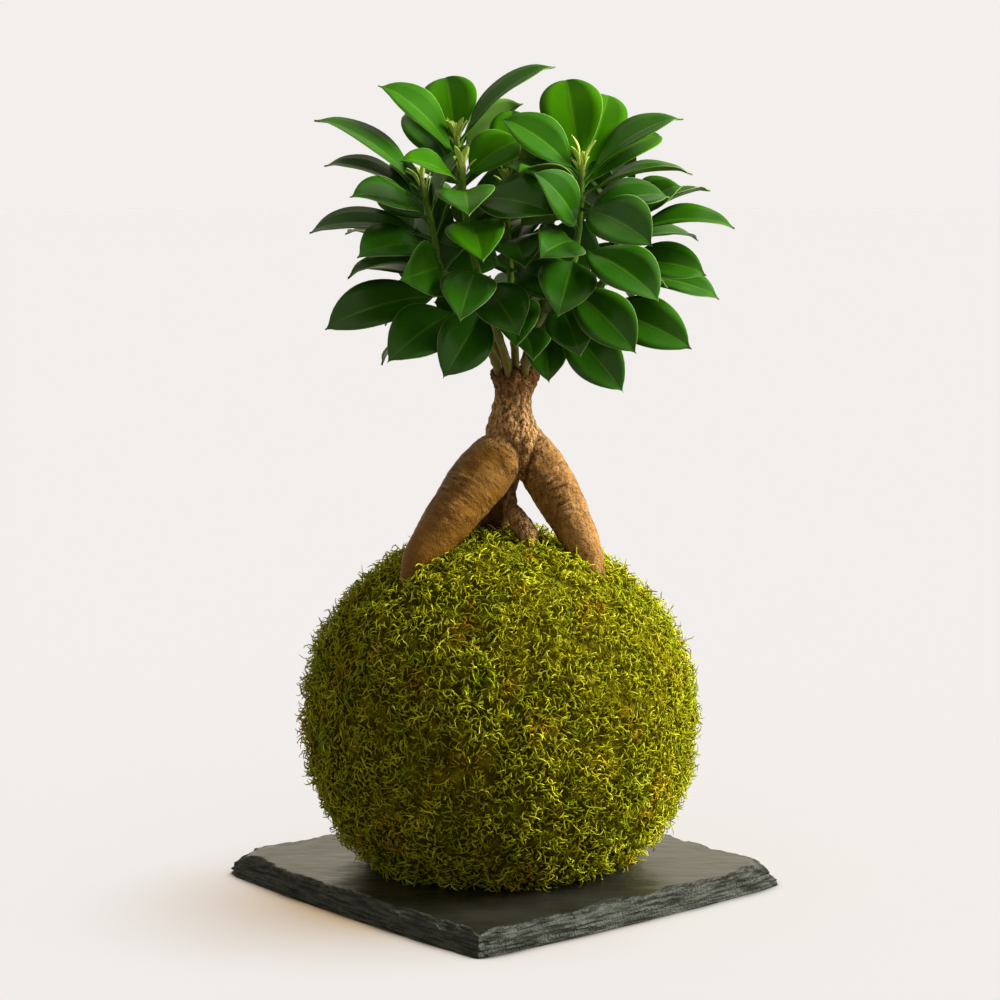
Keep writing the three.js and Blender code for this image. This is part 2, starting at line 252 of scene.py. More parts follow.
def copy_of_node(node: bpy.types.Object, name: str) -> bpy.types.Object:
    """Copies a CAD node and merges the copy's loose triangles into one skin.

    Args:
        node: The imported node.
        name: The copy's name.

    Returns:
        The copy, with no parent.
    """
    activate(node)
    bpy.ops.object.duplicate()
    copy = named(name)
    copy.parent = None
    for key in list(copy.keys()):
        if key.startswith("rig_"):
            del copy[key]
    bpy.ops.object.mode_set(mode="EDIT")
    bpy.ops.mesh.select_all(action="SELECT")
    bpy.ops.mesh.remove_doubles(threshold=0.00001)
    bpy.ops.object.mode_set(mode="OBJECT")
    return copy


def hand_over(obj: bpy.types.Object, slot: str, material: bpy.types.Material, *nodes: str) -> None:
    """Finishes a piece: its material, its body and the nodes that it stands for.

    Args:
        obj: The piece.
        slot: The record's material slot. Not used.
        material: What it is made of.
        nodes: The CAD nodes that it replaces.
    """
    obj.data.materials.clear()
    obj.data.materials.append(material)
    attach(obj, "root")
    if nodes:
        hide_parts(*nodes)
    LOG.info("%s: %d faces", obj.name, len(obj.data.polygons))


# Finishes


class Graph:
    """One node tree, with short ways to add and join its nodes."""

    def __init__(self, tree: bpy.types.NodeTree) -> None:
        """Keeps the tree that the nodes go into."""
        self.tree = tree

    def node(self, kind: str, inputs: dict | None = None, **settings: object) -> bpy.types.Node:
        """Adds a node.

        Args:
            kind: The node's type.
            inputs: A number, colour or socket for each input, by name or place.
            settings: The node's own properties.

        Returns:
            The node.
        """
        made = self.tree.nodes.new(kind)
        for name, value in settings.items():
            setattr(made, name, value)
        for name, value in (inputs or {}).items():
            if isinstance(value, bpy.types.NodeSocket):
                self.tree.links.new(value, made.inputs[name])
            else:
                made.inputs[name].default_value = value
        return made

    def math(self, operation: str, *values: object) -> bpy.types.NodeSocket:
        """Adds a Math node over the values and returns its result."""
        return self.node("ShaderNodeMath", dict(enumerate(values)), operation=operation).outputs[0]

    def times(self, one: object, two: object) -> bpy.types.NodeSocket:
        """Multiplies two values."""
        return self.math("MULTIPLY", one, two)

    def times_plus(self, one: object, two: object, more: object) -> bpy.types.NodeSocket:
        """Multiplies two values and adds a third."""
        return self.math("MULTIPLY_ADD", one, two, more)

    def feed(self, value: bpy.types.NodeSocket, target: bpy.types.Node, name: str) -> None:
        """Joins a value to a node's input."""
        self.tree.links.new(value, target.inputs[name])

    def mix(self, share: object, low: object, high: object, blend: str = "MIX") -> bpy.types.NodeSocket:
        """Mixes two colours.

        Args:
            share: How much of high, from 0 to 1.
            low: The first colour.
            high: The second colour.
            blend: How they mix.

        Returns:
            The mixed colour.
        """
        inputs = {0: share, 6: low, 7: high}
        return self.node("ShaderNodeMix", inputs, data_type="RGBA", blend_type=blend).outputs[2]

    def ramp(self, share: object, stops: Sequence[tuple[float, Colour]]) -> bpy.types.NodeSocket:
        """Turns a number into a colour through a row of stops, each a place and a colour."""
        made = self.node("ShaderNodeValToRGB", {0: share})
        elements = made.color_ramp.elements
        while len(elements) < len(stops):
            elements.new(0.5)
        for element, (place, colour) in zip(elements, stops):
            element.position = place
            element.color = colour
        return made.outputs["Color"]

    def spread(self, value: object, low: object, high: object) -> bpy.types.NodeSocket:
        """Stretches the range from low to high to 0 to 1, softly, and cuts off the rest."""
        inputs = {"Value": value, "From Min": low, "From Max": high}
        return self.node("ShaderNodeMapRange", inputs, interpolation_type="SMOOTHSTEP").outputs[0]

    def stored(self, name: str, output: str = "Fac") -> bpy.types.NodeSocket:
        """Reads an attribute that the mesh stores."""
        return self.node("ShaderNodeAttribute", attribute_name=name).outputs[output]

    def place(self) -> bpy.types.NodeSocket:
        """Reads the point's place in the part's frame, in metres."""
        return self.node("ShaderNodeTexCoord").outputs["Object"]

    def stretch(self, vector: object, scale: Point) -> bpy.types.NodeSocket:
        """Scales a place along its three axes."""
        return self.node("ShaderNodeMapping", {"Vector": vector, "Scale": scale}).outputs[0]

    def noise(self, vector: object, scale: object, detail: float = 3) -> bpy.types.NodeSocket:
        """Adds soft noise, from 0 to 1, and returns its value."""
        inputs = {"Vector": vector, "Scale": scale, "Detail": detail}
        return self.node("ShaderNodeTexNoise", inputs).outputs[0]


def new_group(name: str, inputs: dict[str, str], outputs: dict[str, str]) -> tuple[Graph, dict, dict]:
    """Starts a shader node group.

    Args:
        name: The group's name.
        inputs: The type of each input socket, by name.
        outputs: The type of each output socket, by name.

    Returns:
        The group's graph, its input sockets by name, and its output node's inputs by name.
    """
    tree = bpy.data.node_groups.new(name, "ShaderNodeTree")
    for label, kind in inputs.items():
        tree.interface.new_socket(name=label, in_out="INPUT", socket_type=kind)
    for label, kind in outputs.items():
        tree.interface.new_socket(name=label, in_out="OUTPUT", socket_type=kind)
    source = tree.nodes.new("NodeGroupInput")
    sink = tree.nodes.new("NodeGroupOutput")
    return Graph(tree), dict(source.outputs.items()), dict(sink.inputs.items())


class Effect(Enum):
    """The shader groups that several finishes share."""

    PATCHES = "soft_patches"
    GRAIN = "fine_grain"


def make_patches() -> None:
    """Builds the group of soft patches: a mask of cloudy spots of one size."""
    graph, given, result = new_group(
        Effect.PATCHES.value,
        {"Place": "NodeSocketVector"} | dict.fromkeys(("Scale", "Low", "High"), "NodeSocketFloat"),
        {"Mask": "NodeSocketFloat"},
    )
    cloud = graph.noise(given["Place"], given["Scale"], 4)
    graph.tree.links.new(graph.spread(cloud, given["Low"], given["High"]), result["Mask"])


def make_grain() -> None:
    """Builds the group of fine grain: a height and a tint that follow small pits and specks."""
    graph, given, result = new_group(
        Effect.GRAIN.value,
        {"Place": "NodeSocketVector", "Scale": "NodeSocketFloat", "Pits": "NodeSocketFloat"},
        {"Height": "NodeSocketFloat", "Tint": "NodeSocketFloat"},
    )
    fine = graph.noise(given["Place"], given["Scale"], 6)
    cells = graph.node("ShaderNodeTexVoronoi", {"Vector": given["Place"], "Scale": given["Scale"]})
    pit = graph.times(graph.spread(cells.outputs["Distance"], 0.35, 0.0), given["Pits"])
    graph.tree.links.new(graph.math("SUBTRACT", fine, pit), result["Height"])
    graph.tree.links.new(graph.math("SUBTRACT", fine, graph.times(pit, 0.6)), result["Tint"])


@dataclass(frozen=True)
class Finish:
    """What a surface is made of. Each kind of surface adds its own colours and nodes."""

    name: str

    def start(self, **constants: object) -> tuple[bpy.types.Material, Graph, bpy.types.Node]:
        """Starts the material.

        Args:
            constants: Values of the shader's own sockets, by name with _ for spaces.

        Returns:
            The material, its graph and its shader.
        """
        material = bpy.data.materials.new(self.name)
        material.use_nodes = True
        graph = Graph(material.node_tree)
        shader = material.node_tree.nodes["Principled BSDF"]
        for key, value in constants.items():
            shader.inputs[key.replace("_", " ").title().replace("Ior", "IOR")].default_value = value
        return material, graph, shader

    def effect(self, graph: Graph, effect: Effect, **inputs: object) -> bpy.types.Node:
        """Places a shared group in this finish.

        Args:
            graph: The material's graph.
            effect: Which group.
            inputs: Its inputs by name.

        Returns:
            The group's node.
        """
        return graph.node("ShaderNodeGroup", inputs, node_tree=bpy.data.node_groups[effect.value])

    def patches(
        self, graph: Graph, place: object, scale: float, low: float, high: float
    ) -> bpy.types.NodeSocket:
        """Places the shared soft patches in this finish.

        Args:
            graph: The material's graph.
            place: The place that they are read at.
            scale: How many there are in a metre, or so.
            low: The cloud's value where a patch starts.
            high: The cloud's value where it is full.

        Returns:
            The patches' mask.
        """
        made = self.effect(graph, Effect.PATCHES, Place=place, Scale=scale, Low=low, High=high)
        return made.outputs["Mask"]

    def bump(self, graph: Graph, shader: bpy.types.Node, height: object, depth: float) -> None:
        """Roughens the surface by a height map of the given depth in metres."""
        made = graph.node("ShaderNodeBump", {"Height": height, "Distance": depth, "Strength": 1.0})
        graph.feed(made.outputs[0], shader, "Normal")


@dataclass(frozen=True)
class SlateFinish(Finish):
    """Riven slate: satin and dark on its top face, rough and grainy where it is broken."""

    top: Colour = (0.014, 0.013, 0.008, 1)
    warm: Colour = (0.029, 0.028, 0.022, 1)
    broken: Colour = (0.092, 0.099, 0.082, 1)
    dark: Colour = (0.018, 0.019, 0.015, 1)
    sheen: Colour = (1.0, 0.97, 0.86, 1)
    satin: float = 0.60
    relief: float = 0.0006

    def build(self) -> bpy.types.Material:
        """Makes the material."""
        material, graph, shader = self.start(
            specular_ior_level=0.18, specular_tint=self.sheen, coat_roughness=0.27
        )
        place = graph.place()
        drift = graph.stretch(place, (1.0, 1.6, 1.0))
        patches = self.patches(graph, drift, 26.0, 0.38, 0.66)
        grain = self.effect(graph, Effect.GRAIN, Place=place, Scale=1100.0, Pits=0.6)
        layers = graph.noise(graph.stretch(place, (90, 90, 1100)), 1.0, 4)
        broken = graph.stored("broken")
        top = graph.mix(patches, self.top, self.warm)
        rough = graph.mix(graph.spread(layers, 0.36, 0.62), self.dark, self.broken)
        colour = graph.mix(broken, top, rough)
        speck = graph.times(graph.spread(grain.outputs["Tint"], 0.50, 0.30), 0.7)
        graph.feed(graph.mix(speck, colour, self.dark), shader, "Base Color")
        satin = graph.times(graph.math("SUBTRACT", 1.0, broken), self.satin)
        graph.feed(satin, shader, "Coat Weight")
        gloss = graph.times_plus(patches, 0.08, 0.30)
        dull = graph.times_plus(broken, 0.38, gloss)
        graph.feed(dull, shader, "Roughness")
        ripple = graph.noise(graph.stretch(place, (70, 190, 90)), 1.0, 5)
        height = graph.times_plus(grain.outputs["Height"], 0.20, ripple)
        flakes = graph.math("ADD", layers, grain.outputs["Height"])
        self.bump(graph, shader, graph.times_plus(flakes, broken, height), self.relief)
        return material


@dataclass(frozen=True)
class SoilFinish(Finish):
    """Damp dark soil, which the moss hides."""

    dark: Colour = (0.018, 0.011, 0.007, 1)
    light: Colour = (0.075, 0.045, 0.026, 1)
    relief: float = 0.0015

    def build(self) -> bpy.types.Material:
        """Makes the material."""
        material, graph, shader = self.start(roughness=0.95)
        grain = self.effect(graph, Effect.GRAIN, Place=graph.place(), Scale=420.0, Pits=0.8)
        colour = graph.mix(grain.outputs["Tint"], self.dark, self.light)
        graph.feed(colour, shader, "Base Color")
        self.bump(graph, shader, grain.outputs["Height"], self.relief)
        return material


@dataclass(frozen=True)
class MossBedFinish(Finish):
    """The dark felt of old moss under the live strands."""

    dark: Colour = (0.070, 0.062, 0.003, 1)
    light: Colour = (0.340, 0.310, 0.010, 1)
    relief: float = 0.0015

    def build(self) -> bpy.types.Material:
        """Makes the material."""
        material, graph, shader = self.start(roughness=0.95, specular_ior_level=0.0)
        place = graph.place()
        patches = self.patches(graph, place, 170.0, 0.42, 0.68)
        grain = self.effect(graph, Effect.GRAIN, Place=place, Scale=700.0, Pits=0.8)
        lit = graph.times(patches, grain.outputs["Tint"])
        graph.feed(graph.mix(lit, self.dark, self.light), shader, "Base Color")
        self.bump(graph, shader, grain.outputs["Height"], self.relief)
        return material


@dataclass(frozen=True)
class MossFinish(Finish):
    """Live moss strands: dark at their roots, yellow-green at their tips, with rusty patches."""

    root: Colour = (0.130, 0.120, 0.003, 1)
    olive: Colour = (0.340, 0.285, 0.006, 1)
    green: Colour = (0.430, 0.460, 0.008, 1)
    bright: Colour = (0.860, 0.820, 0.060, 1)
    deep: Colour = (0.140, 0.265, 0.008, 1)
    rust: Colour = (0.500, 0.290, 0.012, 1)
    cooling: float = 0.62

    def build(self) -> bpy.types.Material:
        """Makes the material."""
        material, graph, shader = self.start(roughness=0.6, specular_ior_level=0.08)
        place = graph.place()
        tone = graph.stored("tone")
        rusty = self.patches(graph, place, 60.0, 0.56, 0.66)
        fresh = graph.ramp(tone, [(0.0, self.olive), (0.45, self.green), (1.0, self.bright)])
        cool = self.patches(graph, place, 75.0, 0.47, 0.66)
        cooled = graph.mix(graph.times(cool, self.cooling), fresh, self.deep)
        age = graph.times(rusty, graph.spread(tone, 0.85, 0.35))
        colour = graph.mix(age, cooled, self.rust)
        lit = graph.mix(graph.spread(graph.stored("rise"), 0.0, 0.50), self.root, colour)
        graph.feed(lit, shader, "Base Color")
        return material


@dataclass(frozen=True)
class BarkFinish(Finish):
    """Thin tan bark, finely wrinkled across the legs and cracked on the neck.

    The collar and the knobbly root are darker and redder. The back root leg is darker and redder too, its
    darkness partly painted shade. Painted shade darkens the wrinkles' lines, the coarse folds, the neck's
    cracks on top of their own colour, the pits and the seams where limbs meet. A painted highlight pales
    the wrinkles' ridges, and painted shade keeps the left root leg's lower part darker tan. The amounts
    say how much of each colour shows where its mark is strongest.
    """

    tan: Colour = (0.205, 0.092, 0.013, 1)
    pale: Colour = (0.420, 0.225, 0.070, 1)
    crust: Colour = (0.900, 0.525, 0.240, 1)
    # The colour of painted shade in the creases, folds, seams and pits.
    crease_shade: Colour = (0.060, 0.025, 0.006, 1)
    dark: Colour = (0.062, 0.027, 0.010, 1)
    red: Colour = (0.210, 0.088, 0.028, 1)
    fine_scale: Point = (1000, 230, 230)
    coarse_scale: Point = (300, 60, 60)
    fibre_scale: Point = (780, 780, 430)
    ridge_highlight: float = 0.70
    ring_shade: float = 0.90
    fold_shade: float = 0.10
    crusted: float = 0.95
    cracked: float = 0.45
    seam_shade: float = 0.75
    shaded: float = 0.9
    pit_shade: float = 0.5
    relief: float = 0.0014

    def joined(self, graph: Graph, scale: Point) -> bpy.types.NodeSocket:
        """Adds wrinkles that pass softly from one limb to the next.

        Args:
            graph: The material's graph.
            scale: How fine they are along a limb and round it.

        Returns:
            The wrinkles, as noise.
        """
        one, two = (
            graph.noise(graph.stretch(graph.stored(name, "Vector"), scale), 1.0, 4)
            for name in ("skin_one", "skin_two")
        )
        share = graph.stored("skin_share")
        return graph.times_plus(graph.math("SUBTRACT", two, one), share, one)

    def build(self) -> bpy.types.Material:
        """Makes the material."""
        material, graph, shader = self.start(specular_ior_level=0.18)
        place = graph.place()
        fine = self.joined(graph, self.fine_scale)
        coarse = self.joined(graph, self.coarse_scale)
        fibre = graph.noise(graph.stretch(place, self.fibre_scale), 1.0, 4)
        grain = self.effect(graph, Effect.GRAIN, Place=place, Scale=900.0, Pits=0.7)
        patches = self.patches(graph, place, 90.0, 0.36, 0.68)
        rough = graph.stored("rough_bark")
        spots = self.patches(graph, place, 75.0, 0.40, 0.60)
        spotted = graph.times_plus(spots, 0.7, 0.3)
        wrinkled = graph.times(graph.stored("wrinkled"), spotted)
        paler = graph.math("MAXIMUM", patches, rough)
        # Painted shade keeps the left root leg's lower part to the darker tan.
        pale_share = graph.times(paler, graph.spread(graph.stored("tanned"), 1.0, 0.0))
        smooth = graph.mix(pale_share, self.tan, self.pale)
        # Painted highlight on the wrinkles' ridges.
        ridges = graph.times(graph.spread(fine, 0.53, 0.66), wrinkled)
        ridge_highlight = graph.mix(graph.times(ridges, self.ridge_highlight), smooth, self.pale)
        # Painted shade in the wrinkles' lines and in the coarse folds.
        lines = graph.times(graph.spread(fine, 0.49, 0.41), wrinkled)
        ring_shade = graph.mix(graph.times(lines, self.ring_shade), ridge_highlight, self.crease_shade)
        folds = graph.times(graph.spread(coarse, 0.45, 0.36), self.fold_shade)
        banded = graph.mix(folds, ring_shade, self.crease_shade)
        crusts = graph.times(rough, graph.spread(fibre, 0.44, 0.58))
        crusted = graph.mix(graph.times(crusts, self.crusted), banded, self.crust)
        # The neck's cracks are darker, partly their own colour and partly painted shade.
        cracks = graph.times(rough, graph.spread(fibre, 0.47, 0.38))
        necked = graph.mix(graph.times(cracks, self.cracked), crusted, self.dark)
        # The back root leg's darker red is partly painted shade; the collar and the knobbly root are
        # darker and redder in their own colour.
        shaded = graph.mix(patches, self.dark, self.red)
        # Painted shade in the seams where limbs meet and in the crotch.
        fold_shade = graph.mix(graph.times(graph.stored("seam"), self.seam_shade), necked, self.crease_shade)
        rooted = graph.mix(graph.times(graph.stored("shade_bark"), self.shaded), fold_shade, shaded)
        # Painted shade in the pits.
        pits = graph.times(graph.spread(grain.outputs["Tint"], 0.44, 0.26), self.pit_shade)
        graph.feed(graph.mix(pits, rooted, self.crease_shade), shader, "Base Color")
        gloss = graph.times_plus(fine, 0.25, 0.40)
        graph.feed(graph.times_plus(rough, 0.15, gloss), shader, "Roughness")
        ribs = graph.times(fine, graph.times_plus(wrinkled, 0.9, 0.15))
        height = graph.times_plus(grain.outputs["Height"], 0.20, ribs)
        torn = graph.math("ADD", grain.outputs["Height"], graph.times(fibre, 1.6))
        self.bump(graph, shader, graph.times_plus(torn, rough, height), self.relief)
        return material


@dataclass(frozen=True)
class LeafFinish(Finish):
    """A glossy leaf with a sunk midrib, a thin pale margin and side veins that hardly show.

    The amounts say how much of each colour shows where its mark is strongest.
    """

    old: Colour = (0.017, 0.086, 0.004, 1)
    young: Colour = (0.038, 0.166, 0.0005, 1)
    sprout: Colour = (0.560, 0.740, 0.140, 1)
    vein: Colour = (0.120, 0.270, 0.015, 1)
    margin: Colour = (0.400, 0.560, 0.170, 1)
    under: Colour = (0.105, 0.215, 0.030, 1)
    sheen: Colour = (0.72, 1.0, 0.52, 1)
    lift: Colour = (1.6, 1.35, 1.2, 1)
    clouded: float = 0.45
    veined: float = 0.035
    ribbed: float = 0.42
    pale_below: float = 0.75
    edged: float = 0.55
    wax: float = 0.42
    relief: float = 0.00022

    def build(self) -> bpy.types.Material:
        """Makes the material."""
        material, graph, shader = self.start(
            specular_ior_level=0.035, specular_tint=self.sheen, coat_roughness=0.30
        )
        place = graph.place()
        blade = graph.node("ShaderNodeUVMap", uv_map="blade").outputs[0]
        split = graph.node("ShaderNodeSeparateXYZ", {0: blade})
        along, across = split.outputs[0], split.outputs[1]
        off = graph.math("ABSOLUTE", graph.times_plus(across, 2.0, -1.0))
        patches = self.patches(graph, place, 90.0, 0.35, 0.70)
        grain = self.effect(graph, Effect.GRAIN, Place=place, Scale=1500.0, Pits=0.2)
        age = graph.stored("young")
        rib_width = graph.times_plus(along, -0.030, 0.045)
        rib = graph.spread(graph.math("SUBTRACT", off, rib_width), 0.030, 0.0)
        slant = graph.times_plus(off, -0.32, along)
        stripe = graph.math("SINE", graph.times(slant, 95.0))
        veins = graph.times(graph.spread(stripe, 0.70, 1.0), graph.spread(off, 1.0, 0.75))
        base = graph.mix(age, self.old, self.young)
        opening = graph.spread(age, 1.12, 1.28)
        fresh = graph.mix(opening, base, self.sprout)
        lighter = graph.mix(1.0, fresh, self.lift, "MULTIPLY")
        cloudy = graph.mix(graph.times(patches, self.clouded), fresh, lighter)
        veined = graph.mix(graph.times(veins, self.veined), cloudy, self.vein)
        ribbed = graph.mix(graph.times(rib, self.ribbed), veined, self.vein)
        below = graph.times(graph.stored("under"), graph.math("SUBTRACT", 1.0, opening))
        pale = graph.mix(graph.times(below, self.pale_below), ribbed, self.under)
        edge = graph.times(graph.spread(off, 0.968, 0.998), self.edged)
        graph.feed(graph.mix(edge, pale, self.margin), shader, "Base Color")
        dull = graph.times_plus(patches, 0.10, graph.times_plus(below, 0.25, 0.27))
        graph.feed(dull, shader, "Roughness")
        wax = graph.times(graph.spread(age, 0.60, 0.0), self.wax)
        graph.feed(wax, shader, "Coat Weight")
        ridges = graph.times(grain.outputs["Height"], 0.10)
        self.bump(graph, shader, graph.times_plus(veins, -0.06, ridges), self.relief)
        return material


@dataclass(frozen=True)
class StemFinish(Finish):
    """A stem: brown and woody at its foot, olive higher up and green under its bud."""

    wood: Colour = (0.230, 0.125, 0.040, 1)
    olive: Colour = (0.190, 0.170, 0.035, 1)
    green: Colour = (0.090, 0.190, 0.012, 1)
    bud: Colour = (0.460, 0.560, 0.100, 1)
    relief: float = 0.0004

    def build(self) -> bpy.types.Material:
        """Makes the material."""
        material, graph, shader = self.start(roughness=0.5, specular_ior_level=0.25)
        place = graph.place()
        grown = graph.stored("grown")
        young = [(0.50, self.green), (0.86, self.green), (0.95, self.bud)]
        colour = graph.ramp(grown, [(0.0, self.wood), (0.10, self.olive), *young])
        grain = self.effect(graph, Effect.GRAIN, Place=place, Scale=900.0, Pits=0.6)
        patches = self.patches(graph, place, 260.0, 0.4, 0.62)
        share = graph.times(patches, graph.spread(grown, 0.6, 0.0))
        woody = graph.mix(graph.times(share, 0.7), colour, self.wood)
        graph.feed(woody, shader, "Base Color")
        self.bump(graph, shader, grain.outputs["Height"], self.relief)
        return material


@dataclass(frozen=True)
class StudioFinish(Finish):
    """The matt pale floor. It glows a little, painted light that keeps shadows on it soft and warm, and
    it darkens near what stands on it as a painted contact shadow.
    """

    paper: Colour = (0.495, 0.646, 0.845, 1)
    dim: Colour = (0.30, 0.25, 0.17, 1)
    glow: Colour = (0.407, 0.233, 0.042, 1)
    unlit: Colour = (0.0, 0.0, 0.0, 1)
    contact_shadow_reach: float = 0.013
    shaded: tuple[float, float] = (0.50, 0.92)

    def build(self) -> bpy.types.Material:
        """Makes the material, which throws back less light on the plant than the eye sees on it."""
        material, graph, shader = self.start(roughness=1.0, specular_ior_level=0.0, emission_strength=1.0)
        bounced = graph.node("ShaderNodeLightPath").outputs["Is Diffuse Ray"]
        # Painted contact shadow: the floor darkens close under the slab and the moss.
        contact_shadow = graph.node("ShaderNodeAmbientOcclusion", {"Distance": self.contact_shadow_reach}, samples=16)
        clear = graph.spread(contact_shadow.outputs["AO"], *self.shaded)
        paper = graph.mix(clear, self.unlit, self.paper)
        glow = graph.mix(clear, self.unlit, self.glow)
        graph.feed(graph.mix(bounced, paper, self.dim), shader, "Base Color")
        graph.feed(graph.mix(bounced, glow, self.unlit), shader, "Emission Color")
        return material


# Studio


@dataclass
class Studio:
    """The camera, the lights and the pale floor."""

    aim: Point = (-0.0009, 0.0, 0.147)
    distance: float = 1.0
    pitch: float = math.radians(6.8)
    half_view: float = 0.1895
    sensor_mm: float = 36.0
    floor_side: float = 60.0
    near_floor: float = 1.0
    backdrop: Colour = (0.896, 0.863, 0.839, 1)
    sky: Colour = (1.0, 0.985, 0.965, 1)
    mirrored: Colour = (0.93, 0.85, 0.66, 1)
    card: Colour = (2.2, 2.15, 1.9, 1)
    card_edge: tuple[float, float] = (0.78, 0.97)
    sky_strength: float = 0.295
    mirrored_strength: float = 0.93
    key_from: Point = (0.82, 0.06, 0.50)
    key_strength: float = 8.5
    key_angle: float = math.radians(34)
    floor_from: Point = (0.19, 0.11, 0.975)
    floor_strength: float = 2.234
    floor_angle: float = math.radians(22)
    sunlight: tuple[float, float, float] = (1.0, 0.98, 0.95)

    def build(self) -> None:
        """Sets the camera, the lights and the floor up.

        The key light isn't mirrored itself. What gleams mirrors the world's bright card in its place.
        """
        bpy.context.scene.view_settings.view_transform = "Standard"
        self.camera()
        self.world()
        floor = self.floor()
        key = self.sun("key_light", self.key_from, self.key_strength, self.key_angle)
        key.visible_glossy = False
        wash = self.sun("floor_light", self.floor_from, self.floor_strength, self.floor_angle)
        self.lights_floor(key, floor, "EXCLUDE")
        self.lights_floor(wash, floor, "INCLUDE")

    def camera(self) -> None:
        """Makes the camera at the photographed angle."""
        data = bpy.data.cameras.new("camera")
        data.sensor_width = self.sensor_mm
        data.lens = self.sensor_mm / (2 * self.half_view)
        data.clip_end = 50
        camera = bpy.data.objects.new("camera", data)
        back = Vector((0, -math.cos(self.pitch), math.sin(self.pitch)))
        camera.location = Vector(self.aim) + back * self.distance
        camera.rotation_euler = (math.pi / 2 - self.pitch, 0, 0)
        bpy.context.scene.collection.objects.link(camera)
        bpy.context.scene.camera = camera

    def sun(self, name: str, place: Point, strength: float, angle: float) -> bpy.types.Object:
        """Adds one large soft light.

        Args:
            name: The light's name.
            place: Where it shines from, as a direction.
            strength: How bright it is.
            angle: How large it looks.

        Returns:
            The light.
        """
        deselect()
        bpy.ops.object.light_add(type="SUN", location=place)
        light = named(name)
        light.data.energy = strength
        light.data.angle = angle
        light.data.color = self.sunlight
        light.rotation_euler = (-Vector(place)).to_track_quat("-Z", "Y").to_euler()
        return light

    def lights_floor(self, light: bpy.types.Object, floor: bpy.types.Object, state: str) -> None:
        """Lets a light shine on the floor alone, INCLUDE, or on everything but the floor, EXCLUDE."""
        linked = bpy.data.collections.new(f"{light.name}_floor")
        linked.objects.link(floor)
        light.light_linking.receiver_collection = linked
        linked.collection_objects[0].light_linking.link_state = state

    def world(self) -> None:
        """Lights the plant softly from all round, and closes the picture in the floor's own colour.

        What gleams mirrors a warmer world, with a bright card where the key light shines from.
        """
        world = bpy.data.worlds.new("studio")
        world.use_nodes = True
        graph = Graph(world.node_tree)
        soft = world.node_tree.nodes["Background"]
        soft.inputs["Color"].default_value = self.sky
        soft.inputs["Strength"].default_value = self.sky_strength
        heading = graph.node("ShaderNodeTexCoord").outputs["Generated"]
        inputs = {0: heading, 1: Vector(self.key_from).normalized()}
        toward = graph.node("ShaderNodeVectorMath", inputs, operation="DOT_PRODUCT").outputs["Value"]
        card = graph.mix(graph.spread(toward, *self.card_edge), self.mirrored, self.card)
        inputs = {"Color": card, "Strength": self.mirrored_strength}
        mirrored = graph.node("ShaderNodeBackground", inputs)
        seen = graph.node("ShaderNodeBackground", {"Color": self.backdrop, "Strength": 1.0})
        ray = graph.node("ShaderNodeLightPath").outputs
        inputs = {0: ray["Is Glossy Ray"], 1: soft.outputs[0], 2: mirrored.outputs[0]}
        unseen = graph.node("ShaderNodeMixShader", inputs)
        inputs = {0: ray["Is Camera Ray"], 1: unseen.outputs[0], 2: seen.outputs[0]}
        both = graph.node("ShaderNodeMixShader", inputs)
        output = world.node_tree.nodes["World Output"]
        graph.feed(both.outputs[0], output, "Surface")
        bpy.context.scene.world = world

    def floor(self) -> bpy.types.Object:
        """Makes the wide plain floor, cut finer where the plant stands, and returns it."""
        deselect()
        bpy.ops.mesh.primitive_plane_add(size=self.floor_side)
        floor = named("floor")
        bpy.ops.object.mode_set(mode="EDIT")
        bpy.ops.mesh.select_all(action="SELECT")
        bpy.ops.mesh.inset(thickness=self.floor_side / 2 - self.near_floor, depth=0)
        bpy.ops.mesh.subdivide(number_cuts=4)
        bpy.ops.object.mode_set(mode="OBJECT")
        floor.data.materials.append(StudioFinish("studio_paper").build())
        return floor


# Slab


